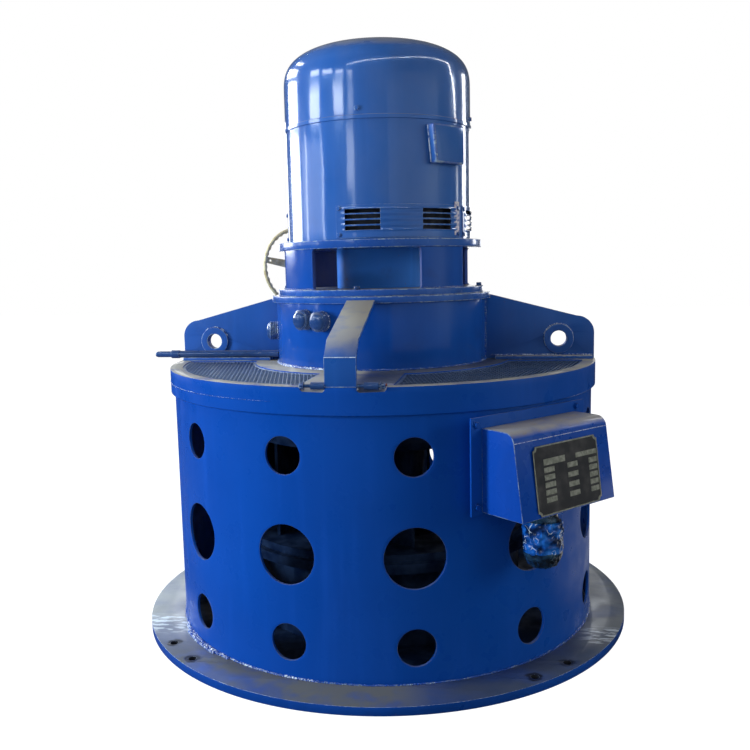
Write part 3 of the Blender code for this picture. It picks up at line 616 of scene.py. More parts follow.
def deck_oil_and_painted_shadow(tree, place, base, dust):
    """Right of the strap the deck is dark with oil and painted shadow, but for its outermost strip."""
    reach = vector_node(tree, "LENGTH", vector_node(tree, "MULTIPLY", place, (1.0, 1.0, 0.0)), output="Value")
    across = split(tree, place)["X"]
    strip = math_node(tree, "MAXIMUM", spread(tree, reach, 0.615, 0.650, 1.0, 0.0),
                      spread(tree, across, 0.090, 0.125, 1.0, 0.0))
    # Painted shadow of the strap, with oil: the deck right of the strap is darkened and carries less dust.
    oil_and_painted_shadow = times(tree, spread(tree, across, -0.01, 0.03), strip, 0.8)
    base = mix_color(tree, oil_and_painted_shadow, base, (0.026, 0.032, 0.034))
    return base, times(tree, rest_of(tree, oil_and_painted_shadow), dust)


def grate_painted_shade(tree, place, base, dust):
    """Painted shade: the gratings right of the strap are darker and carry less dust."""
    dark = spread(tree, split(tree, place)["X"], -0.05, 0.05, 0.0, 0.75)
    return mix_color(tree, dark, base, (0.020, 0.045, 0.130)), times(tree, rest_of(tree, dark), dust)


def box_wear(tree, place, base, dust):
    """Rust brown runs in the dust on top of the junction box."""
    rusty = spread(tree, noise_at(tree, place, 26.0, 5.0, (1.0, 1.0, 3.0)), 0.56, 0.66, 0.0, 0.75)
    return mix_color(tree, times(tree, rusty, upward(tree, 0.55, 0.90)), base, RUST), dust


# Painted light and shade on the film's folds, each as (noise value, color)
FILM_BLUES = ((0.38, (0.002, 0.012, 0.050)), (0.46, (0.002, 0.032, 0.150)), (0.54, (0.004, 0.075, 0.340)),
              (0.66, (0.020, 0.160, 0.560)))
FILM_DARKS = ((0.42, (0.002, 0.005, 0.010)), (0.52, (0.006, 0.020, 0.045)), (0.62, (0.020, 0.060, 0.110)))


def make_materials():
    return {
        "drum": enamel("drum_enamel", (0.0022, 0.0590, 0.3350), (0.0020, 0.0520, 0.3000),
                       rough=0.32, dust=0.2, dirt=0.0, wave=0.03, coat=0.0, haze=0.006, mirror=0.15),
        "blue": enamel("blue_enamel", (0.0050, 0.0800, 0.3700), (0.0040, 0.0580, 0.2900),
                       coat=0.4, haze=0.045, mirror=0.35),
        "gloss": enamel("generator_enamel", (0.0070, 0.1000, 0.4100), (0.0070, 0.0880, 0.3600), rough=0.12,
                        dust=0.65, dirt=0.08, wave=0.12, coat=0.9, dust_start=0.58, haze=0.08),
        "housing": enamel("housing_enamel", (0.0025, 0.0640, 0.3400), (0.0020, 0.0480, 0.2700), rough=0.16,
                          dirt=0.25, wave=0.12, coat=0.35, haze=0.014, mirror=0.35),
        "ear": enamel("ear_enamel", (0.0060, 0.0820, 0.3700), (0.0050, 0.0600, 0.2800), rough=0.34, dirt=0.2,
                      wave=0.03, coat=0.0, dust_start=0.80, haze=0.050, mirror=0.25),
        # Pale inner sides: dust, and painted light for the light that reaches inside the frame.
        "inside": enamel("dusty_inside", rough=0.6, coat=0.0, haze=0.20, mirror=0.1),
        # A lighter blue than the other enamel: painted light on the bearing carrier inside the frame.
        "bearing": enamel("bearing_enamel", (0.0200, 0.1700, 0.6200), (0.0180, 0.1500, 0.5600), rough=0.50,
                          wave=0.02, coat=0.0, haze=0.06, mirror=0.05),
        "base": enamel("base_enamel", (0.0030, 0.0560, 0.3200), (0.0025, 0.0420, 0.2400),
                       rough=0.36, dust=0.95, dirt=0.3, coat=0.12, haze=0.01, settling=GREY_DIRT,
                       extra=base_wear_and_painted_light),
        "deck": enamel("deck_enamel", rough=0.3, dust=1.0, dirt=0.5, coat=0.2, dust_start=0.5, mirror=0.3,
                       extra=deck_oil_and_painted_shadow),
        "strap": enamel("strap_enamel", (0.0060, 0.0800, 0.3500), (0.0050, 0.0560, 0.2600),
                        rough=0.3, dust=0.97, dirt=0.2, coat=0.1, dust_start=0.55, haze=0.02,
                        mirror=0.3),
        "box": enamel("box_enamel", (0.0015, 0.0560, 0.3700), (0.0012, 0.0480, 0.3200), rough=0.26, dust=0.85,
                      dirt=0.15, wave=0.03, coat=0.15, dust_start=0.45, haze=0.010, mirror=0.3,
                      extra=box_wear),
        "grate": enamel("grating_enamel", (0.2000, 0.2900, 0.4600), (0.1200, 0.2000, 0.3600), rough=0.38,
                        dust=0.50, dirt=0.2, coat=0.1, dust_start=0.40, extra=grate_painted_shade),
        "dark": enamel("fitting_enamel", (0.0100, 0.0520, 0.1900), (0.0070, 0.0300, 0.1200),
                       dust=0.4, dirt=0.5, dust_start=0.35),
        "pipe": enamel("pipe_enamel", (0.0090, 0.0500, 0.1900), (0.0070, 0.0360, 0.1300), dust=0.3, dirt=0.6,
                       coat=0.7),
        # Weld paint whose pale spots are painted glints.
        "bead": weld_enamel("weld_enamel", (0.75, 0.84, 0.92), 0.20),
        # A dimmer copy of the weld paint, as painted shade on the far side.
        "faint": weld_enamel("dull_weld_enamel", (0.16, 0.23, 0.34), 0.02),
        "edge": worn_edge("worn_edge", (0.27, 0.36, 0.45), 0.25),
        "cut": worn_edge("cut_edge", (0.085, 0.095, 0.090), 0.10),
        # Pale lines on rubbed edges and folds; on the terminal box the same paint is a painted highlight.
        "crease": worn_edge("bare_crease", (0.66, 0.75, 0.82), 0.80),
        # A painted reflection on the end of a cover.
        "pale": worn_edge("pale_wear", (0.55, 0.52, 0.56), 0.85),
        "shadow": plain_metal("winding_shadow", (0.010, 0.013, 0.022), (0.004, 0.006, 0.010), 0.8, 0.0),
        # Dark blue inner enamel, darkened further as painted shade.
        "inner_shade_enamel": plain_metal("wet_inner_enamel", (0.014, 0.028, 0.066), (0.003, 0.009, 0.030), 0.6, 0.0,
                             mirror=0.1),
        "rusty": plain_metal("rusty_end", (0.20, 0.030, 0.020), (0.10, 0.020, 0.015), 0.6, 0.0, 60.0),
        "wheel": plain_metal("cream_enamel", (0.780, 0.700, 0.450), (0.520, 0.420, 0.230), 0.42, 0.0, 30.0),
        "plate_black": plate_enamel("plate_black"),
        "plate_silver": plain_metal("plate_silver", (0.27, 0.29, 0.25), (0.17, 0.19, 0.16), 0.5, 0.35, 90.0),
        "film": crumpled_film("wrapping_film", FILM_BLUES, (0.75, 0.86, 0.93), 0.80),
        "film_dark": crumpled_film("wrapping_film_dark", FILM_DARKS, (0.12, 0.18, 0.22), 0.50),
    }


# Mesh helpers

def number_materials(mesh, *materials):
    """These paints in this order, with every face on the first."""
    mesh.materials.clear()
    for material in materials:
        mesh.materials.append(paints[material])


def finish_piece(name, mesh, *materials, body=MACHINE, stands_for=(), slot="blue_paint", smooth=38.0):
    """Link a mesh whose place is in it, and say which body it rides on and what it stands for."""
    last = len(materials) - 1
    numbers = [min(polygon.material_index, last) for polygon in mesh.polygons]
    number_materials(mesh, *materials)
    mesh.polygons.foreach_set("material_index", numbers)
    mesh.shade_smooth()
    mesh.set_sharp_from_angle(angle=math.radians(smooth))
    piece = bpy.data.objects.new(name, mesh)
    bpy.context.scene.collection.objects.link(piece)
    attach(piece, body)
    if stands_for:
        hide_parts(*stands_for)


def mesh_from(shape):
    mesh = bpy.data.meshes.new("draft")
    shape.to_mesh(mesh)
    shape.free()
    return mesh


def evaluated(thing):
    """The mesh an object shows with its modifiers, and the object is removed."""
    bpy.context.view_layer.update()
    mesh = bpy.data.meshes.new_from_object(thing.evaluated_get(bpy.context.evaluated_depsgraph_get()))
    bpy.data.objects.remove(thing, do_unlink=True)
    return mesh


def draft_object(data):
    thing = bpy.data.objects.new("draft", data)
    bpy.context.scene.collection.objects.link(thing)
    return thing


def moved(mesh, matrix):
    if matrix is not None:
        mesh.transform(matrix)
    return mesh


def thickened(mesh, thickness, inner_paint=0):
    """Wall thickness inwards for an outer sheet; its inside and rim move on by inner_paint paints."""
    thing = draft_object(mesh)
    wall = thing.modifiers.new("wall", "SOLIDIFY")
    wall.thickness = thickness
    wall.offset = -1.0
    wall.material_offset = inner_paint
    wall.material_offset_rim = inner_paint
    return evaluated(thing)


def bevelled(mesh, width=0.0015, steps=2, angle=SHARP, edge_slot=-1):
    """Round off the sharp edges; edge_slot gives the rounded strips their own material."""
    thing = draft_object(mesh)
    change = thing.modifiers.new("edges", "BEVEL")
    change.width = width
    change.segments = steps
    change.limit_method = "ANGLE"
    change.angle_limit = math.radians(angle)
    change.material = edge_slot
    change.use_clamp_overlap = True
    while len(mesh.materials) <= edge_slot:
        mesh.materials.append(None)
    return evaluated(thing)


def walled(sheet, thickness, edge, steps=2, inner_paint=0):
    """A sheet with its wall thickness; its sharp edges are rounded off and take material 1."""
    return bevelled(thickened(sheet, thickness, inner_paint), edge, steps, SHEET_SHARP, 1)


def top_bevelled(mesh, above, width):
    """Round off the sharp edges that lie above a height; the rounded strips take material 1."""
    shape = bmesh.new()
    shape.from_mesh(mesh)
    sharp = []
    for edge in shape.edges:
        upper = min(vertex.co.z for vertex in edge.verts) > above
        if upper and len(edge.link_faces) == 2 and edge.calc_face_angle() > math.radians(SHARP):
            sharp.append(edge)
    bmesh.ops.bevel(shape, geom=sharp, offset=width, segments=2, profile=0.5, affect="EDGES", material=1,
                    clamp_overlap=True)
    return mesh_from(shape)


def join(meshes, merge=False):
    """Several meshes as one, with their material numbers kept."""
    shape = bmesh.new()
    for mesh in meshes:
        shape.from_mesh(mesh)
    if merge:
        bmesh.ops.remove_doubles(shape, verts=shape.verts, dist=MERGE)
    return mesh_from(shape)


def ring_faces(shape, rings, closed=False):
    """Quads between neighbouring rings of points; closed also joins the last ring to the first."""
    faces = []
    for first, second in zip(rings, rings[1:] + rings[:1] if closed else rings[1:]):
        for i in range(len(first)):
            j = (i + 1) % len(first)
            faces.append(shape.faces.new((first[i], second[i], second[j], first[j])))
    return faces


def filleted(points, radius):
    """Round the corners of a profile; gives (point, is_edge) with is_edge on the rounded strips."""
    rounded = [(Vector(points[0]), False)]
    for before, here, after in zip(points, points[1:], points[2:]):
        here = Vector(here)
        back = Vector(before) - here
        ahead = Vector(after) - here
        bend = math.pi - back.angle(ahead)
        reach = min(radius, back.length * 0.45, ahead.length * 0.45)
        if bend < math.radians(25.0):
            rounded.append((here, False))
            continue
        start = here + back.normalized() * reach
        end = here + ahead.normalized() * reach
        for step in range(4):
            share = step / 3
            point = start * (1 - share) ** 2 + here * 2 * share * (1 - share) + end * share ** 2
            rounded.append((point, step > 0))
    rounded.append((Vector(points[-1]), False))
    return rounded


def turned(profile, fillet=0.002, steps=ROUND, closed=False, matrix=None):
    """Profile of (radius, height) down the outer side, turned once round; rounded strips take material 1."""
    if closed:
        profile = [profile[-1]] + list(profile) + [profile[0]]
    points = filleted(profile, fillet) if fillet else [(Vector(point), False) for point in profile]
    if closed:
        points = points[1:-1]
    shape = bmesh.new()
    rings = []
    for point, _ in points:
        if point.x < MERGE:
            rings.append([shape.verts.new((0.0, 0.0, point.y))])
        else:
            rings.append([shape.verts.new(polar(360.0 * i / steps, point.x, point.y)) for i in range(steps)])
    pairs = list(zip(rings, rings[1:], points[1:]))
    if closed:
        pairs.append((rings[-1], rings[0], points[0]))
    for upper, lower, (_, is_edge) in pairs:
        for i in range(steps):
            j = (i + 1) % steps
            corners = [upper[i % len(upper)], lower[i % len(lower)], lower[j % len(lower)],
                       upper[j % len(upper)]]
            face = shape.faces.new(list(dict.fromkeys(corners)))
            face.material_index = 1 if is_edge else 0
    return moved(mesh_from(shape), matrix)


def disc(radius, bottom, top, fillet=0.0022, steps=ROUND):
    """A solid round plate or drum about the machine's axis."""
    return turned([(0.0, top), (radius, top), (radius, bottom), (0.0, bottom)], fillet, steps)


def arc(center, radius, start, end, count):
    points = []
    for i in range(count + 1):
        turn = math.radians(start + (end - start) * i / count)
        points.append((center[0] + radius * math.cos(turn), center[1] + radius * math.sin(turn)))
    return points


def circle(radius, count, center=(0.0, 0.0)):
    return arc(center, radius, 0.0, 360.0 * (count - 1) / count, count - 1)


def straight_runs(paths, closed):
    """A curve of straight runs: flat and closed for outlines, in space and open for paths."""
    drawn = bpy.data.curves.new("runs", "CURVE")
    drawn.dimensions = "2D" if closed else "3D"
    for path in paths:
        spline = drawn.splines.new("POLY")
        spline.points.add(len(path) - 1)
        for point, place in zip(spline.points, path):
            point.co = (*Vector(place).to_3d(), 1.0)
        spline.use_cyclic_u = closed
    return drawn


def plate(outlines, low_side, high_side, matrix=None, bevel=0.0015, steps=2, edge_slot=1):
    """A flat outline with holes, extruded and with its edges rounded."""
    drawn = straight_runs(outlines, True)
    drawn.fill_mode = "BOTH"
    drawn.extrude = (high_side - low_side) / 2
    mesh = join([evaluated(draft_object(drawn))], merge=True)
    mesh.transform(Matrix.Translation((0.0, 0.0, (high_side + low_side) / 2)))
    if bevel:
        mesh = bevelled(mesh, bevel, steps, edge_slot=edge_slot)
    return moved(mesh, matrix)


def block(low_corner, high_corner, matrix=None, bevel=0.0015):
    shape = bmesh.new()
    bmesh.ops.create_cube(shape, size=1.0)
    size = Vector(high_corner) - Vector(low_corner)
    bmesh.ops.scale(shape, vec=size, verts=shape.verts)
    bmesh.ops.translate(shape, vec=(Vector(high_corner) + Vector(low_corner)) / 2, verts=shape.verts)
    return moved(bevelled(mesh_from(shape), bevel, edge_slot=1), matrix)


def hexagon(radius, height, matrix=None, washer=0.0):
    """A hexagon head or nut standing on local Z 0, with a round washer under it."""
    mesh = plate([circle(radius, 6)], washer, washer + height, bevel=height * 0.12, steps=1)
    if washer:
        mesh = join([mesh, disc(radius * 1.25, 0.0, washer, 0.0003, 20)])
    return moved(mesh, matrix)


def tube(points, radius, sides=12):
    """A round bar along points, its ends closed."""
    drawn = straight_runs([points], False)
    drawn.bevel_depth = radius
    drawn.bevel_resolution = max(0, sides // 4 - 1)
    drawn.use_fill_caps = True
    return join([evaluated(draft_object(drawn))], merge=True)


# Geometry Nodes

def geometry_tree(name, sockets):
    """A tree with a geometry input and output and named inputs; gives the tree and what comes in."""
    tree = bpy.data.node_groups.new(name, "GeometryNodeTree")
    tree.interface.new_socket("Geometry", in_out="INPUT", socket_type="NodeSocketGeometry")
    for label, kind in {**sockets, "Material": "Material"}.items():
        tree.interface.new_socket(label, in_out="INPUT", socket_type="NodeSocket" + kind)
    tree.interface.new_socket("Geometry", in_out="OUTPUT", socket_type="NodeSocketGeometry")
    return tree, tree.nodes.new("NodeGroupInput").outputs


def end_tree(tree, given, geometry):
    """Realize the instances, set the material and close the tree."""
    real = node(tree, "GeometryNodeRealizeInstances", {}, {"Geometry": geometry})
    painted = node(tree, "GeometryNodeSetMaterial", {},
                   {"Geometry": real.outputs[0], "Material": given["Material"]})
    node(tree, "NodeGroupOutput", {}, {"Geometry": painted.outputs[0]})
    return tree


def shifted_points(tree, points, offset):
    return node(tree, "GeometryNodeSetPosition", {}, {"Geometry": points, "Offset": offset}).outputs[0]


def grow(tree, data, values):
    """Run a tree on a mesh or curve with the given inputs; gives the plain mesh it makes."""
    thing = draft_object(data)
    change = thing.modifiers.new(tree.name, "NODES")
    change.node_group = tree
    names = {item.name: item.identifier for item in tree.interface.items_tree
             if item.item_type == "SOCKET" and item.in_out == "INPUT"}
    for label, value in values.items():
        change[names[label]] = value
    return evaluated(thing)


def turned_copies_tree():
    """Copies of the input mesh, set round the machine's axis."""
    tree, given = geometry_tree("turned_copies", {"Count": "Int", "Step": "Float", "Join": "Float"})
    places = node(tree, "GeometryNodePoints", {}, {"Count": given["Count"]})
    number = tree.nodes.new("GeometryNodeInputIndex")
    turn = node(tree, "ShaderNodeCombineXYZ", {}, {"Z": times(tree, number.outputs[0], given["Step"])})
    copies = node(tree, "GeometryNodeInstanceOnPoints", {},
                  {"Points": places.outputs[0], "Instance": given["Geometry"], "Rotation": turn.outputs[0]})
    real = node(tree, "GeometryNodeRealizeInstances", {}, {"Geometry": copies.outputs[0]})
    merged = node(tree, "GeometryNodeMergeByDistance", {},
                  {"Geometry": real.outputs[0], "Distance": given["Join"]})
    return end_tree(tree, given, merged.outputs[0])


def set_round(mesh, count, paint, merge=0.0):
    """Copies of a mesh at even steps round the machine's axis."""
    return grow(turned_copies, mesh, {"Count": count, "Step": math.tau / count, "Join": merge,
                                      "Material": paints[paint]})


def bead_tree():
    """A weld bead: overlapping scales along a curve, each a little different."""
    tree, given = geometry_tree("weld_bead", {"Width": "Float", "Pitch": "Float", "Seed": "Int"})
    path = node(tree, "GeometryNodeCurveToPoints", {"mode": "LENGTH"},
                {"Curve": given["Geometry"], "Length": given["Pitch"]})
    scale_mesh = node(tree, "GeometryNodeMeshUVSphere", {},
                      {"Segments": 8, "Rings": 6, "Radius": given["Width"]})
    size, shift = [
        node(tree, "FunctionNodeRandomValue", {"data_type": "FLOAT_VECTOR"},
             {0: least, 1: most, "Seed": given["Seed"]}).outputs[0]
        for least, most in (((0.80, 0.75, 0.70), (1.10, 1.05, 1.15)),
                            ((-0.0008, -0.0008, -0.0006), (0.0008, 0.0008, 0.0006)))]
    copies = node(tree, "GeometryNodeInstanceOnPoints", {},
                  {"Points": shifted_points(tree, path.outputs["Points"], shift),
                   "Instance": scale_mesh.outputs["Mesh"], "Rotation": path.outputs["Rotation"],
                   "Scale": size})
    return end_tree(tree, given, copies.outputs[0])


def grating_tree():
    """Expanded metal: rows of open diamonds, kept where they lie inside one quarter's panel."""
    tree, given = geometry_tree("expanded_metal", {label: "Float" for label in (
        "Pitch X", "Pitch Y", "Inner", "Outer", "Front", "Side")})
    pitches = (given["Pitch X"], given["Pitch Y"])
    size = 2 * GRATE_OUTER
    counts = [math_node(tree, "DIVIDE", size, pitch) for pitch in pitches]
    both = tree.nodes.new("GeometryNodeJoinGeometry")
    for shift in (0.0, 0.5):
        grid = node(tree, "GeometryNodeMeshGrid", {},
                    {"Size X": size, "Size Y": size, "Vertices X": counts[0], "Vertices Y": counts[1]})
        offset = node(tree, "ShaderNodeCombineXYZ", {},
                      {axis: times(tree, pitch, shift) for axis, pitch in zip("XY", pitches)})
        row = shifted_points(tree, grid.outputs["Mesh"], offset.outputs[0])
        tree.links.new(row, both.inputs[0])
    spot = tree.nodes.new("GeometryNodeInputPosition").outputs[0]
    parts = split(tree, spot)
    reach = vector_node(tree, "LENGTH", spot, output="Value")
    outside = None
    for value, limit, operation in ((reach, "Inner", "LESS_THAN"), (reach, "Outer", "GREATER_THAN"),
                                    (parts["X"], "Front", "LESS_THAN"), (parts["Y"], "Side", "LESS_THAN")):
        test = node(tree, "FunctionNodeCompare", {"data_type": "FLOAT", "operation": operation},
                    {0: value, 1: given[limit]}).outputs[0]
        if outside is None:
            outside = test
        else:
            either = node(tree, "FunctionNodeBooleanMath", {"operation": "OR"}, {0: outside, 1: test})
            outside = either.outputs[0]
    kept = node(tree, "GeometryNodeDeleteGeometry", {"domain": "POINT"},
                {"Geometry": both.outputs[0], "Selection": outside})
    copies = node(tree, "GeometryNodeInstanceOnPoints", {},
                  {"Points": kept.outputs[0], "Instance": given["Geometry"]})
    return end_tree(tree, given, copies.outputs[0])


# Pieces

def base_ring():
    """The flange in two rings, with painted shade on the walls of its anchor holes."""
    holes = []
    for quarter in range(4):
        for side in (-1, 1):
            spot = polar(45.0 + 90.0 * quarter + side * ANCHOR_SPREAD, ANCHOR_CIRCLE)
            holes.append(circle(ANCHOR_RADIUS, 28, spot.xy))
    joint = DRUM_RADIUS - 0.010
    mesh = plate([circle(BASE_RADIUS, ROUND), circle(joint, ROUND)] + holes, 0.0, BASE_TOP, bevel=0.002)
    # Painted shade: the anchor holes' walls take the black paint.
    for polygon in mesh.polygons:
        reach = math.hypot(polygon.center.x, polygon.center.y)
        if abs(polygon.normal.z) < 0.9 and reach < BASE_RADIUS - 0.004:
            polygon.material_index = 2
    finish_piece("base_ring", mesh, "base", "crease", "shadow", stands_for=["base_flange"])
    # The flange's inner ring inside the drum takes the dark inner enamel, as painted shade.
    mesh = plate([circle(joint - SEAT, ROUND), circle(BASE_BORE, ROUND)], 0.0, BASE_TOP, bevel=0.0)
    finish_piece("base_inside", mesh, "inner_shade_enamel", stands_for=["base_flange"])


def hole_cell(center, radius, bottom, top, half_width):
    """Quads from a round hole out to the edge of its rectangle, as rows of (arc length, height)."""
    per_side = 16
    rings = 6
    corners = [(-half_width, bottom), (half_width, bottom), (half_width, top), (-half_width, top)]
    border = []
    for corner, following in zip(corners, corners[1:] + corners[:1]):
        for i in range(per_side):
            share = i / per_side
            border.append((corner[0] + (following[0] - corner[0]) * share,
                           corner[1] + (following[1] - corner[1]) * share))
    angles = [math.atan2(y - center, x) for x, y in corners] + [math.atan2(bottom - center, -half_width)]
    angles = [angle + (math.tau if i > 1 and angle < 0 else 0.0) for i, angle in enumerate(angles)]
    rows = []
    for ring in range(rings + 1):
        share = (ring / rings) ** 1.4
        row = []
        for index, (edge_x, edge_z) in enumerate(border):
            side, step = divmod(index, per_side)
            angle = angles[side] + (angles[side + 1] - angles[side]) * step / per_side
            x = DRUM_RADIUS * math.asin(radius * math.cos(angle) / DRUM_RADIUS)
            z = center + radius * math.sin(angle)
            row.append((x + (edge_x - x) * share, z + (edge_z - z) * share))
        rows.append(row)
    return rows


def drum_column():
    """One column of three holes in the drum's wall, as an open sheet at the first column's azimuth."""
    limits = [BASE_TOP]
    for first, second in zip(HOLE_ROWS, HOLE_ROWS[1:]):
        limits.append((first[0] + second[0]) / 2)
    limits.append(RIM_LOW + 0.004)
    shape = bmesh.new()
    half_width = math.radians(180.0 / DRUM_COLUMNS) * DRUM_RADIUS
    for (center, radius), floor_z, ceiling in zip(HOLE_ROWS, limits, limits[1:]):
        rings = []
        for row in hole_cell(center, radius, floor_z, ceiling, half_width):
            rings.append([shape.verts.new(polar(FIRST_COLUMN + math.degrees(x / DRUM_RADIUS), DRUM_RADIUS, z))
                          for x, z in row])
        ring_faces(shape, rings)
    bmesh.ops.remove_doubles(shape, verts=shape.verts, dist=MERGE)
    return mesh_from(shape)


def drum():
    """The perforated drum: one column set round the axis, then given its wall thickness."""
    sheet = set_round(drum_column(), DRUM_COLUMNS, "drum", merge=0.0001)
    number_materials(sheet, "drum", "cut")
    walls = [f"drum_wall_{number + 1:02d}" for number in range(DRUM_COLUMNS)]
    finish_piece("perforated_drum", walled(sheet, DRUM_WALL, 0.0009), "drum", "cut", stands_for=walls)


def grating_outline(quarter, inset):
    steps = 24
    near = GRATE_INNER + inset
    far = GRATE_OUTER - inset
    front = FRONT_STRIP_HALF + inset
    side = SIDE_STRIP_HALF + inset
    points = []
    for reach, order in ((near, range(steps + 1)), (far, range(steps, -1, -1))):
        start = math.degrees(math.asin(front / reach))
        end = math.degrees(math.acos(side / reach))
        points += [polar(start + (end - start) * i / steps, reach) for i in order]
    flip_x = -1 if quarter in (1, 2) else 1
    flip_y = -1 if quarter in (2, 3) else 1
    return [(point.x * flip_x, point.y * flip_y) for point in points]


def scoops():
    """Cutters for the two hollows: drawn as seen from the front, leaning so that they run out on the deck."""
    slope = SCOOP_DROP / (RIM_RADIUS - SCOOP_START)
    lean = Matrix.Identity(4)
    lean[2][1] = slope
    lean[2][3] = DECK_TOP + slope * SCOOP_START
    tall = 0.030
    corner = 0.009
    meshes = []
    for left, right in SCOOPS:
        outline = [(left, tall), *arc((left + corner, corner), corner, 180, 270, 6),
                   *arc((right - corner, corner), corner, 270, 360, 6), (right, tall)]
        meshes.append(plate([outline], SCOOP_START, 2 * RIM_RADIUS - SCOOP_START, lean @ STAND_UP, bevel=0.0))
    return join(meshes)


def deck():
    """The deck plate, its edge hollowed out on both sides of the strap, and the rim band flush under it."""
    openings = [grating_outline(quarter, 0.0) for quarter in range(4)]
    thing = draft_object(plate([circle(RIM_RADIUS, ROUND)] + openings, DECK_LOW, DECK_TOP, bevel=0.0))
    cutter = draft_object(scoops())
    change = thing.modifiers.new("scoops", "BOOLEAN")
    change.operation = "DIFFERENCE"
    change.object = cutter
    mesh = top_bevelled(evaluated(thing), DECK_LOW + 0.002, 0.0014)
    bpy.data.objects.remove(cutter, do_unlink=True)
    for polygon in mesh.polygons:
        if abs(polygon.normal.z) < 0.3:
            polygon.material_index = 2
    finish_piece("deck", mesh, "deck", "edge", "drum", stands_for=["deck_plate"])
    foot = 0.0025
    band = turned([(RIM_RADIUS, DECK_LOW), (RIM_RADIUS, RIM_LOW + foot), (RIM_RADIUS - foot, RIM_LOW),
                   (RIM_INNER, RIM_LOW), (RIM_INNER, DECK_LOW)], 0.0, closed=True)
    finish_piece("rim", band, "drum", stands_for=["rim_band"])


def diamond(width, length, strand, depth, lift):
    """One open diamond of expanded metal; one pair of strands leans up as the real sheet does."""
    shape = bmesh.new()
    rings = []
    for inner_share, z in ((0.0, 0.0), (0.0, -depth), (1.0, -depth), (1.0, 0.0)):
        ring = []
        for x, y, up in ((0.0, -0.5, 0.0), (0.5, 0.0, lift), (0.0, 0.5, 0.0), (-0.5, 0.0, -lift)):
            across = x * (width + strand) - (math.copysign(strand, x) * inner_share if x else 0.0)
            along = y * (length + 2 * strand) - (math.copysign(2 * strand, y) * inner_share if y else 0.0)
            ring.append(shape.verts.new((across, along, z + up)))
        rings.append(ring)
    ring_faces(shape, rings, closed=True)
    bmesh.ops.recalc_face_normals(shape, faces=shape.faces)
    return mesh_from(shape)


def gratings():
    names = ("grating_front_right", "grating_front_left", "grating_back_left", "grating_back_right")
    pitch_x = 0.0118
    pitch_y = 0.0460
    inset = 0.006
    top = high(names[0])
    cell = diamond(pitch_x, pitch_y, strand=0.0022, depth=0.0024, lift=0.0020)
    mesh = grow(grating_tree(), cell, {
        "Pitch X": pitch_x, "Pitch Y": pitch_y, "Inner": GRATE_INNER + inset, "Outer": GRATE_OUTER - inset,
        "Front": FRONT_STRIP_HALF + inset, "Side": SIDE_STRIP_HALF + 2 * inset, "Material": paints["grate"]})
    mesh.transform(Matrix.Translation((0.0, 0.0, top - 0.002)))
    for quarter, name in enumerate(names):
        flip = Matrix.Diagonal((-1 if quarter in (1, 2) else 1, 1 if quarter in (2, 3) else -1, 1, 1))
        sheet = moved(mesh.copy(), flip)
        if quarter in (0, 2):
            sheet.flip_normals()
        border = plate([grating_outline(quarter, 0.0004), grating_outline(quarter, 0.009)], top - 0.008,
                       top - 0.001, bevel=0.0008, steps=1, edge_slot=-1)
        finish_piece("mesh_" + name, join([sheet, border]), "grate", stands_for=[name],
                     slot="dark_blue_paint")


def ring_path(radius, height, start, end):
    """A path round the axis for a weld bead."""
    steps = max(8, int(abs(end - start) * 0.8))
    return [polar(start + (end - start) * i / steps, radius, height) for i in range(steps + 1)]


def bead(path, width, pitch, seed):
    return grow(weld_bead, straight_runs([path], False), {"Width": width, "Pitch": pitch, "Seed": seed,
                                                          "Material": paints["bead"]})


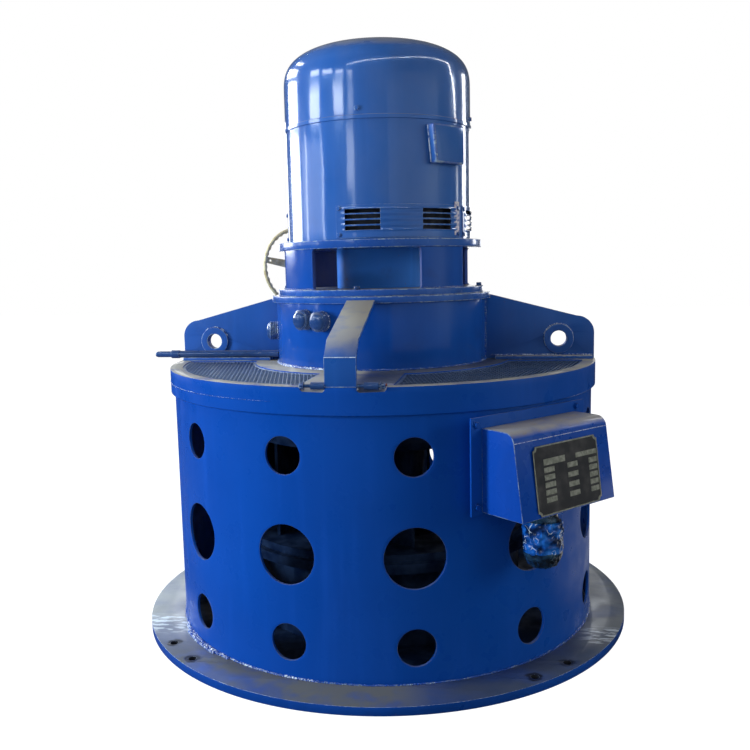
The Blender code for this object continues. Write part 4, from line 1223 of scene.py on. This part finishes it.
def weld_beads():
    """Bright beads where the photograph shows them, and dull ones on the far side and inside."""
    proud = 0.001
    foot = BASE_TOP + 0.001
    wall = DRUM_RADIUS + proud
    # Welds on the lit side take the weld paint with painted glints.
    runs = [bead(ring_path(wall, foot, -60.0, -8.0), width=0.0040, pitch=0.0052, seed=1)]
    for row in range(2):
        path = ring_path(DRUM_RADIUS + 0.006 + 0.008 * row, foot, -58.0 + 4.0 * row, -34.0 - 5.0 * row)
        runs.append(bead(path, width=0.0066, pitch=0.0110, seed=11 + row))
    finish_piece("drum_foot_weld", join(runs), "bead")
    # Welds on the far side take the dimmer weld paint, a painted-shade copy.
    far = bead(ring_path(wall, foot, -8.0, 300.0), width=0.0034, pitch=0.0046, seed=6)
    finish_piece("drum_foot_weld_far", far, "faint")
    seam = bead(ring_path(RIM_RADIUS, RIM_SEAM, -75.0, -17.0), width=0.0011, pitch=0.0042, seed=21)
    finish_piece("rim_seam_weld", seam, "bead")
    foot = DECK_TOP + 0.002
    wall = HOUSING_RADIUS + proud
    near = bead(ring_path(wall, foot, -86.0, -8.0), width=0.0056, pitch=0.0052, seed=2)
    finish_piece("housing_foot_weld", near, "bead")
    # These welds take the dimmer weld paint, a painted-shade copy.
    runs = [bead(ring_path(wall, foot, -8.0, 274.0), width=0.0034, pitch=0.0044, seed=12)]
    rings = []
    half = EAR_THICK / 2
    for side in (-1, 1):
        boss = [side_view(side * 90.0) @ Vector((*point, half + proud))
                for point in arc(EAR_HOLE, EAR_BOSS_RADIUS + proud, 20, 160, 24)]
        front = [Vector((spot.x, -abs(spot.y), spot.z)) for spot in boss]
        rings.append(bead(front, width=0.0018, pitch=0.0034, seed=31))
        for face in (-1, 1):
            y = face * (half + 0.002)
            z = DECK_TOP + 0.012
            along_foot = [(side * reach, y, z) for reach in EAR_WELD]
            up_wall = [(side * wall, y, height) for height in (z, COVER_LOW - 0.004)]
            rings.append(bead(along_foot, width=0.0028, pitch=0.0044, seed=3))
            runs.append(bead(up_wall, width=0.0030, pitch=0.0050, seed=4))
    finish_piece("ear_welds", join(rings), "bead")
    half = 45.0 - WINDOW_HALF
    for post in range(FRAME_POSTS):
        middle = 45.0 + 90.0 * post
        path = ring_path(FRAME_RADIUS + proud, FOOT_TOP + 0.0015, middle - half, middle + half)
        runs.append(bead(path, width=0.0028, pitch=0.0042, seed=5 + post))
    finish_piece("dull_welds", join(runs), "faint")


def flange(name, part, radius, bottom, top):
    finish_piece(name, disc(radius, bottom, top), "blue", "edge", stands_for=[part])


def housing():
    mesh = disc(HOUSING_RADIUS, DECK_TOP, COVER_LOW, fillet=0.0010)
    finish_piece("turbine_casing", mesh, "housing", "housing", stands_for=["turbine_housing"])
    flange("cover_flange", "housing_cover", COVER_RADIUS, COVER_LOW, COVER_TOP)
    flange("foot_flange", "frame_foot_ring", FOOT_RADIUS, COVER_TOP, FOOT_TOP)


def post_sheet():
    """One frame post as an open sheet; its sides flare at top and bottom into the windows' round corners."""
    rows = 9
    columns = 14
    corner = 0.010
    half = math.radians(45.0 - WINDOW_HALF) * FRAME_RADIUS
    bottom = FOOT_TOP
    top = TOP_FLANGE_LOW
    heights = [corner * (1 - math.cos(math.pi / 2 * i / rows)) for i in range(rows + 1)]
    levels = [bottom + h for h in heights] + [top - h for h in reversed(heights)]
    shape = bmesh.new()
    grid = []
    for level in levels:
        gap = min(level - bottom, top - level, corner)
        flare = corner - math.sqrt(max(0.0, corner ** 2 - (corner - gap) ** 2))
        row = []
        for i in range(columns + 1):
            along = (half + flare) * (2 * i / columns - 1)
            row.append(shape.verts.new(polar(45.0 + math.degrees(along / FRAME_RADIUS), FRAME_RADIUS, level)))
        grid.append(row)
    for lower, upper in zip(grid, grid[1:]):
        for i in range(columns):
            shape.faces.new((lower[i], lower[i + 1], upper[i + 1], upper[i]))
    return mesh_from(shape)


def frame_ring():
    """The frame's posts with pale inner sides of dust and painted light, the flange on them and the bearing
    carrier inside, a lighter blue as painted light.
    """
    sheet = set_round(post_sheet(), FRAME_POSTS, "housing")
    number_materials(sheet, "housing", "blue", "inside")
    posts = [f"frame_post_{number + 1}" for number in range(FRAME_POSTS)]
    finish_piece("frame_posts", walled(sheet, FRAME_WALL, 0.0010, inner_paint=2), "housing", "blue",
                 "inside", stands_for=posts)
    flange("top_flange", "frame_top_flange", TOP_FLANGE_RADIUS, TOP_FLANGE_LOW, TOP_FLANGE_TOP)
    mesh = disc(BEARING_RADIUS, FOOT_TOP, TOP_FLANGE_LOW, fillet=0.0, steps=120)
    finish_piece("bearing_carrier", mesh, "bearing", stands_for=["bearing_housing"])


def bent_sheet(azimuths, heights, radius, open_cells=(), bulge=None):
    """Quads over the given azimuths and heights; open_cells gives ((azimuths), (heights)) left out."""
    shape = bmesh.new()
    grid = []
    for height in heights:
        row = []
        for azimuth in azimuths:
            extra = bulge(azimuth, height) if bulge else 0.0
            row.append(shape.verts.new(polar(azimuth, radius + extra, height)))
        grid.append(row)
    for j in range(len(heights) - 1):
        middle_z = (heights[j] + heights[j + 1]) / 2
        for i in range(len(azimuths) - 1):
            middle_a = (azimuths[i] + azimuths[i + 1]) / 2
            if any(a[0] < middle_a < a[1] and z[0] < middle_z < z[1] for a, z in open_cells):
                continue
            shape.faces.new((grid[j][i], grid[j][i + 1], grid[j + 1][i + 1], grid[j + 1][i]))
    return mesh_from(shape)


def steps_between(stops, pitch):
    """All the stops, and even steps of about the pitch between them."""
    values = []
    for first, second in zip(stops, stops[1:]):
        count = max(1, round((second - first) / pitch))
        values += [first + (second - first) * i / count for i in range(count)]
    return values + [stops[-1]]


def cover_sheet():
    """A louvred cover at azimuth 0: four slot rows, open in two zones, with ribs running between them."""
    bottom = low("generator_cover_1")
    top = high("generator_cover_1")
    half_slot = SLOT_TALL / 2
    slots = [(level - half_slot, level + half_slot) for level in SLOT_LEVELS]
    heights = steps_between([bottom, *(edge for slot in slots for edge in slot), top], 0.004)
    azimuths = steps_between([-COVER_HALF, *SLOT_ZONES[0], *SLOT_ZONES[1], COVER_HALF], 1.5)
    cells = [(zone, slot) for zone in SLOT_ZONES for slot in slots]

    def rib(azimuth, height):
        nearest = min(abs(height - level) for level in SLOT_LEVELS)
        on_edge = abs(nearest - half_slot) <= 0.0001
        return COVER_RIB if on_edge and abs(azimuth) <= COVER_HALF - 4.0 else 0.0

    radius = GENERATOR_RADIUS + COVER_PROUD - COVER_RIB
    sheet = bent_sheet(azimuths, heights, radius, cells, rib)
    parts = [walled(sheet, COVER_THICK, 0.0006, steps=1)]
    for side in (-1, 1):
        for height in (bottom + 0.010, top - 0.010):
            place = facing_out(side * (COVER_HALF - 1.8), radius, height)
            parts.append(hexagon(0.0062, 0.004, place, washer=0.001))
    return join(parts)


def generator():
    """The body with a recessed band in painted shade, a wall over it that is open behind the slots, and its
    covers.
    """
    vent_low = low("generator_cover_1") + 0.012
    vent_high = high("generator_cover_1") - 0.006
    recess = GENERATOR_RADIUS - 0.022
    cut_off = GENERATOR_RADIUS - 0.05
    body = turned([(cut_off, SEAM), (GENERATOR_RADIUS, SEAM), (GENERATOR_RADIUS, vent_high),
                   (recess, vent_high), (recess, vent_low), (GENERATOR_RADIUS, vent_low),
                   (GENERATOR_RADIUS, TOP_FLANGE_TOP), (cut_off, TOP_FLANGE_TOP)], 0.0)
    # Painted shade: the recessed band behind the slots takes the black paint.
    for polygon in body.polygons:
        spot = polygon.center
        reach = math.hypot(spot.x, spot.y)
        if reach < GENERATOR_RADIUS - 0.004 and vent_low - 0.001 < spot.z < vent_high + 0.001:
            polygon.material_index = 1
    zones = []
    stops = [-180.0]
    for middle in sorted(COVER_MIDDLES):
        for start, end in SLOT_ZONES:
            zone = (middle + start - 1.0, middle + end + 1.0)
            zones.append((zone, (vent_low, vent_high)))
            stops += zone
    band = bent_sheet(steps_between(stops + [180.0], 1.5), [vent_low, vent_high], GENERATOR_RADIUS, zones)
    finish_piece("generator_shell", join([body, thickened(band, 0.003)]), "gloss", "shadow",
                 stands_for=["generator_body"])
    louvres = [moved(cover_sheet(), about_axis(middle)) for middle in COVER_MIDDLES]
    names = [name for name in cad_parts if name.startswith("generator_cover_")]
    finish_piece("louvred_covers", join(louvres), "gloss", "edge", stands_for=names)
    # A pale strip on the end of the cover right of the front: a painted reflection.
    reflection_strip = bent_sheet(steps_between(REFLECTION_AZIMUTHS, 0.5), steps_between(REFLECTION_HEIGHTS, 0.0102),
                      GENERATOR_RADIUS + COVER_PROUD - 0.0013)
    finish_piece("worn_cover_end", reflection_strip, "pale")


def dome():
    steps = 40
    profile = [(0.0, DOME_TOP)]
    for i in range(1, steps + 1):
        turn = math.radians(90.0 * (steps - i) / steps)
        radius = DOME_RADIUS * math.cos(turn) ** (2 / DOME_SIDE_POWER)
        rise = (DOME_TOP - DOME_SPRING) * math.sin(turn) ** (2 / DOME_CROWN_POWER)
        profile.append((radius, DOME_SPRING + rise))
    foot = SEAM - 0.0004
    profile += [(DOME_RADIUS, DOME_LIP_TOP + 0.002), (DOME_LIP, DOME_LIP_TOP), (DOME_LIP, SEAM + 0.0012),
                (DOME_LIP - 0.002, foot), (DOME_LIP - 0.05, foot)]
    parts = [turned(profile, 0.0)]
    for azimuth in SCREW_AZIMUTHS:
        place = facing_out(azimuth, DOME_RADIUS - 0.0005, SCREW_HEIGHT)
        parts.append(hexagon(0.007, 0.005, place, washer=0.001))
    finish_piece("dome", join(parts), "gloss", "edge", stands_for=["dome_cover"], smooth=30.0)


def terminal_box():
    """Shallow box with a cut-off lower left corner, its sides drawn in towards the lid."""
    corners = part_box("generator_terminal_box")
    half = 0.066
    tall = 0.057
    slant = 0.012
    outline = [(-half, tall), (-half + slant, -tall), (half, -tall), (half, tall)]
    height = (corners[0].z + corners[1].z) / 2
    matrix = tangent_frame(TERMINAL_AZIMUTH, GENERATOR_RADIUS, height) @ STAND_UP
    body = plate([outline], -0.020, 0.026, matrix, bevel=0.006, steps=4)
    finish_piece("terminal_box", body, "gloss", "edge", stands_for=["generator_terminal_box"])
    # A pale line along the box's left edge: a painted highlight.
    ends = [matrix @ Vector((x - 0.0004, y, 0.002))
            for x, y in ((-half, tall - 0.004), (-half + slant, -tall + 0.004))]
    finish_piece("terminal_box_edge", tube(ends, 0.0018), "crease")


def ears():
    bottom = low("lifting_ear_right")
    root = HOUSING_RADIUS + SEAT
    clear = COVER_RADIUS + SEAT
    under = COVER_LOW - 2 * SEAT
    corner = 0.055
    outline = [(root, bottom), (root, under), (clear, under), (clear, 1.053),
               (EAR_TIP - corner, EAR_SHOULDER),
               *arc((EAR_TIP - corner, EAR_SHOULDER - corner), corner, 75, 0, 14), (EAR_TIP, bottom)]
    hole = circle(EAR_HOLE_RADIUS, 40, EAR_HOLE)
    boss = [(EAR_HOLE_RADIUS, 0.008), (EAR_BOSS_RADIUS, 0.008), (EAR_BOSS_RADIUS, 0.0),
            (EAR_HOLE_RADIUS, 0.0)]
    for name, azimuth in (("right", 90.0), ("left", -90.0)):
        matrix = side_view(azimuth)
        parts = [plate([outline, hole], -EAR_THICK / 2, EAR_THICK / 2, matrix, bevel=0.0018)]
        for face in (-1, 1):
            stand = Matrix.Translation((*EAR_HOLE, face * EAR_THICK / 2))
            tilt = Matrix.Rotation(0.0 if face > 0 else math.pi, 4, "X")
            parts.append(turned(boss, fillet=0.0018, steps=48, closed=True, matrix=matrix @ stand @ tilt))
        foot = tangent_frame(azimuth, EAR_TIP, bottom)
        parts.append(block((-0.045, 0.006, 0.0), (0.045, 0.318, 0.010), foot))
        finish_piece("ear_" + name, join(parts), "ear", "edge", stands_for=["lifting_ear_" + name])


def drain():
    """The drain pipe with its rounded tip and its sleeve, as (distance from the outer end, radius)."""
    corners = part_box("drain_pipe")
    middle = (corners[0] + corners[1]) / 2
    end = corners[0].x
    length = corners[1].x - end
    steps = ((0.0, 0.0), (0.0, 0.0080), (0.007, 0.0105), (0.058, 0.0105), (0.058, 0.0143), (0.086, 0.0143),
             (0.086, 0.0122), (length, 0.0122), (length, 0.0))
    matrix = Matrix.Translation((end, middle.y, middle.z)) @ Matrix.Rotation(math.radians(-90.0), 4, "Y")
    profile = [(radius, -distance) for distance, radius in steps]
    mesh = turned(profile, fillet=0.0008, steps=24, matrix=matrix)
    finish_piece("drain_line", mesh, "pipe", "edge", stands_for=["drain_pipe"])


def stub(length, radius):
    """A short pipe stub with a weld at the wall, a screw thread and a rounded cap."""
    neck = radius * 0.88
    profile = [(0.0, length)]
    for step in range(1, 7):
        turn = math.radians(90.0 - 15.0 * step)
        profile.append((neck * math.cos(turn) ** 0.9, length * (0.70 + 0.30 * math.sin(turn) ** 1.3)))
    for ring in range(4):
        z = length * (0.64 - 0.14 * ring)
        profile += [(radius, z), (radius, z - 0.0018), (neck, z - 0.0036)]
    profile += [(neck, 0.004), (neck + 0.005, 0.0), (0.0, 0.0)]
    return turned(profile, fillet=0.0005, steps=40)


def plugs():
    for number, (azimuth, height) in enumerate(PLUGS):
        seat = facing_out(azimuth, HOUSING_RADIUS, height)
        mesh = moved(stub(length=0.039, radius=0.0310), seat)
        finish_piece(f"capped_stub_{number + 1}", mesh, "dark", "edge",
                     stands_for=[f"pipe_plug_{number + 1}"], slot="dark_blue_paint", smooth=50.0)
        weld = [seat @ Vector((*point, 0.001)) for point in arc((0.0, 0.0), 0.0285, 0, 360, 40)]
        ring = bead(weld, width=0.0028, pitch=0.0046, seed=40 + number)
        finish_piece(f"stub_weld_{number + 1}", ring, "bead")


def strap():
    """The bent strap from the cover down to the deck's edge, and the pins on its two sides."""
    least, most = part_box("strap")
    half = (most.x - least.x) / 2
    middle = (most.x + least.x) / 2
    front = -least.y
    inner = front - STRAP_THICK
    start = COVER_RADIUS + SEAT
    outline = [(start, most.z - STRAP_LEAN), (start, most.z), STRAP_KNEE, (front, STRAP_CREASE),
               (front, least.z), (inner, least.z), (inner, STRAP_CREASE - STRAP_LEAN),
               (STRAP_KNEE[0], STRAP_KNEE[1] - STRAP_LEAN)]
    sideways = Matrix.Translation((middle, 0.0, 0.0)) @ side_view(0.0)
    mesh = plate([outline], -half, half, sideways, bevel=0.0012)
    finish_piece("bent_strap", mesh, "strap", "edge", stands_for=["strap"])
    for label, height, thick, paint in (("crease", STRAP_CREASE, 0.0012, "crease"),
                                        ("foot_line", least.z + 0.001, 0.0008, "edge")):
        line = tube([(middle + side * (half - 0.001), -front, height) for side in (-1, 1)], thick)
        finish_piece("strap_" + label, line, paint)
    for name, side, sleeve in zip(("left", "right"), (-1, 1), SLEEVES):
        first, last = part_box("strap_pin_" + name)
        y = (first.y + last.y) / 2
        z = (first.z + last.z) / 2
        end = first.x if side < 0 else last.x
        turn = Matrix.Rotation(side * math.pi / 2, 4, "Y")
        stand = Matrix.Translation((end - side * 0.013, y, z))
        parts = [tube([(first.x, y, z), (last.x, y, z)], 0.0050),
                 tube([(sleeve[0], y, z), (sleeve[1], y, z)], 0.0100, sides=24),
                 hexagon(0.0088, 0.011, stand @ turn, washer=0.0015)]
        finish_piece("hinge_pin_" + name, join(parts), "pipe", "edge", stands_for=["strap_pin_" + name])
        if side > 0:
            finish_piece("pin_end", tube([(end, y, z + 0.003), (end + 0.004, y, z + 0.003)], 0.0035), "rusty")


def junction_box():
    """The plate with its two stand-offs and bolts, the box on it and the bare line along the box's fold."""
    matrix = tangent_frame(BOX_AZIMUTH, 0.0, 0.0)
    back = DRUM_RADIUS + SEAT + 0.010
    parts = [block((-0.270, -back, 0.496), (0.185, -back + 0.006, 0.757), matrix)]
    for left, right in ((-0.180, -0.150), (0.150, 0.180)):
        reach = math.sqrt(DRUM_RADIUS ** 2 - 0.150 ** 2) + 2 * SEAT
        parts.append(block((left, -back + 0.003, 0.511), (right, -reach, 0.742), matrix, bevel=0.001))
    for u, z in ((-0.252, 0.520), (-0.252, 0.738), (0.150, 0.742), (0.168, 0.516)):
        place = matrix @ Matrix.Translation((u, -back, z)) @ STAND_UP
        parts.append(hexagon(0.0085, 0.006, place, washer=0.0015))
    finish_piece("box_mounting_plate", join(parts), "drum", "drum", stands_for=["junction_box_plate"])
    front = back + SEAT
    rounding = 0.030
    outline = [(front, BOX_LOW), (BOX_FRONT_LOW, BOX_LOW),
               *arc((BOX_FRONT_HIGH - rounding, BOX_HIGH - rounding), rounding, 8, 90, 12), (front, BOX_HIGH)]
    sideways = matrix @ Matrix.Translation((BOX_MIDDLE, 0.0, 0.0))
    body = plate([outline], -BOX_WIDTH / 2, BOX_WIDTH / 2, sideways @ side_view(0.0), bevel=0.0016)
    finish_piece("switch_box", body, "box", "edge", stands_for=["junction_box"])
    reach, height = outline[2]
    ends = [sideways @ Vector((side * (BOX_WIDTH / 2 - 0.001), -reach, height)) for side in (-1, 1)]
    finish_piece("box_crease", tube(ends, 0.0007), "crease")


def clipped_outline(left, right, bottom, top, notch):
    """A rectangle with a quarter circle taken out of each corner."""
    points = []
    for corner, start in (((left, bottom), 90.0), ((right, bottom), 180.0), ((right, top), 270.0),
                          ((left, top), 360.0)):
        points += arc(corner, notch, start, start - 90.0, 6)
    return points


def nameplate():
    """Black plate with a silvery border and bare fields; it carries no words."""
    lean = math.atan2(BOX_FRONT_LOW - BOX_FRONT_HIGH, BOX_HIGH - BOX_LOW)
    face = (tangent_frame(BOX_AZIMUTH, 0.0, 0.0) @ Matrix.Translation((BOX_MIDDLE, -BOX_FRONT_LOW, BOX_LOW))
            @ Matrix.Rotation(-lean, 4, "X") @ STAND_UP)
    left, right, bottom, top = -0.128, 0.129, 0.004, 0.184
    front = 0.0028
    back = front - 0.0006
    border = 0.0035
    edge = clipped_outline(left, right, bottom, top, 0.010)
    inner = clipped_outline(left + border, right - border, bottom + border, top - border, 0.0115)
    black = plate([edge], SEAT, back, face, bevel=0.0004, steps=1, edge_slot=-1)
    finish_piece("type_plate", black, "plate_black", stands_for=["nameplate"], slot="black_plate")
    # Fields as shares of the plate's width and height: left, right, lower and upper edge
    fields = [(0.145, 0.470, 0.710, 0.800), (0.640, 0.975, 0.720, 0.790)]
    columns = ((0.141, 0.298, 0.641, 0.107, 5), (0.500, 0.660, 0.638, 0.141, 4),
               (0.842, 0.974, 0.636, 0.108, 5))
    for start, end, first_row, pitch, count in columns:
        for row in range(count):
            middle = first_row - pitch * row
            fields.append((start, end, middle - 0.037, middle + 0.037))
    silver = [plate([edge, inner], back, front, face, bevel=0.0)]
    for start, end, lower, upper in fields:
        x = [left + (right - left) * share for share in (start, end)]
        y = [bottom + (top - bottom) * share for share in (lower, upper)]
        outline = [(x[0], y[0]), (x[1], y[0]), (x[1], y[1]), (x[0], y[1])]
        silver.append(plate([outline], back, front - 0.0001, face, bevel=0.0))
    finish_piece("type_plate_fields", join(silver), "plate_silver", slot="black_plate")


def bundle_radius(depth):
    for (first, wide), (second, narrow) in zip(BUNDLE_PROFILE, BUNDLE_PROFILE[1:]):
        if depth <= second:
            return wide + (narrow - wide) * (depth - first) / (second - first)
    return BUNDLE_PROFILE[-1][1]


def film_bundle():
    """The cable outlet under the box: a gland and a cup wrapped in crumpled plastic film."""
    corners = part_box("cable_outlet")
    middle = (corners[0] + corners[1]) / 2
    top = corners[1].z
    shape = bmesh.new()
    around = 84
    levels = 60
    rows = []
    for level in range(levels + 1):
        depth = BUNDLE_DEPTH * level / levels
        soft = 1.0 if depth > GLAND_DEPTH else 0.35
        row = []
        for i in range(around):
            flat = polar(90.0 + 360.0 * i / around, 1.0)
            crease = 1.0 - abs(noise.noise(Vector((flat.x * 2.4, flat.y * 2.4, depth * 34.0)) * 1.5
                                           + Vector((4.0, 1.0, 2.0)))) * 2.4
            fold = noise.noise(Vector((flat.x * 5.5, flat.y * 5.5, depth * 80.0)))
            size = bundle_radius(depth) * (1.0 + soft * (0.055 * crease + 0.055 * fold - 0.055))
            row.append(shape.verts.new((middle.x + flat.x * size, middle.y + flat.y * size, top - depth)))
        rows.append(row)
    for index, face in enumerate(ring_faces(shape, rows)):
        level, i = divmod(index, around)
        depth = BUNDLE_DEPTH * level / levels
        wavy = 0.006 * noise.noise(Vector((math.cos(math.tau * i / around) * 2.0, i * 0.05, 3.0)))
        if depth < GLAND_DEPTH or depth > FILM_DEPTH + wavy:
            face.material_index = 1
    shape.faces.new(rows[0])
    bmesh.ops.remove_doubles(shape, verts=rows[-1], dist=0.0006)
    bmesh.ops.recalc_face_normals(shape, faces=shape.faces)
    finish_piece("wrapped_outlet", mesh_from(shape), "film", "film_dark", stands_for=["cable_outlet"],
                 slot="plastic_film", smooth=24.0)


def handwheel():
    """Cream wheel: a rim with finger waves on its inner side, three flat spokes and a hub on its spindle."""
    around = 216
    section = 12
    waves = 36
    first_spoke = math.radians(11.0)
    shape = bmesh.new()
    rings = []
    for i in range(around):
        turn = math.tau * i / around
        bulge = 0.0036 * (0.5 + 0.5 * math.cos(waves * turn))
        ring = []
        for k in range(section):
            angle = math.tau * k / section
            inward = max(0.0, -math.cos(angle))
            radius = WHEEL_RADIUS - WHEEL_GRIP + WHEEL_GRIP * math.cos(angle) - bulge * inward
            ring.append(shape.verts.new((radius * math.cos(turn), radius * math.sin(turn),
                                         WHEEL_GRIP * math.sin(angle))))
        rings.append(ring)
    ring_faces(shape, rings, closed=True)
    parts = [mesh_from(shape)]
    end = WHEEL_RADIUS - WHEEL_GRIP - 0.001
    outline = [(0.012, -0.016), (end, -0.0115), (end, 0.0115), (0.012, 0.016)]
    hole = circle(0.0045, 20, (0.122, 0.0))
    for spoke in range(3):
        turn = Matrix.Rotation(math.tau * spoke / 3 + first_spoke, 4, "Z")
        parts.append(plate([outline, hole], -0.0025, 0.0025, turn, bevel=0.0010, edge_slot=-1))
    parts.append(turned([(0.0, 0.024), (0.0125, 0.024), (0.0125, 0.012), (0.026, 0.012), (0.026, -0.014),
                         (0.0125, -0.014), (0.0125, -0.083), (0.0, -0.083)], fillet=0.0015, steps=40))
    mesh = moved(join(parts), facing_out(WHEEL_AZIMUTH, WHEEL_REACH, WHEEL_HEIGHT))
    finish_piece("spoked_handwheel", mesh, "wheel", "wheel", body=WHEEL, stands_for=["handwheel"],
                 slot="cream_paint")


def small_fasteners():
    """Nuts that the photograph shows on the frame's foot, repeated round the far side."""
    nut = hexagon(0.0095, 0.009, Matrix.Translation((0.0, -FOOT_RADIUS + 0.012, FOOT_TOP)), washer=0.0015)
    finish_piece("foot_ring_nuts", moved(set_round(nut, 4, "dark"), about_axis(-4.0)), "dark")


def dress_nodes():
    """Materials for the CAD nodes that stay as they are."""
    inner = [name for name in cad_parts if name.startswith(("guide_", "chamber_", "inner_", "runner_"))]
    # The parts inside the drum take the dark inner enamel, darkened further as painted shade.
    for name, paint in [(name, "inner_shade_enamel") for name in inner] + [("handwheel_gearbox", "blue")]:
        number_materials(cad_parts[name].data, paint)


camera()
backdrop()
lights()
paints = make_materials()
floor()
turned_copies = turned_copies_tree()
weld_bead = bead_tree()
base_ring()
drum()
deck()
gratings()
weld_beads()
housing()
frame_ring()
generator()
dome()
terminal_box()
ears()
drain()
plugs()
strap()
junction_box()
nameplate()
film_bundle()
handwheel()
small_fasteners()
dress_nodes()
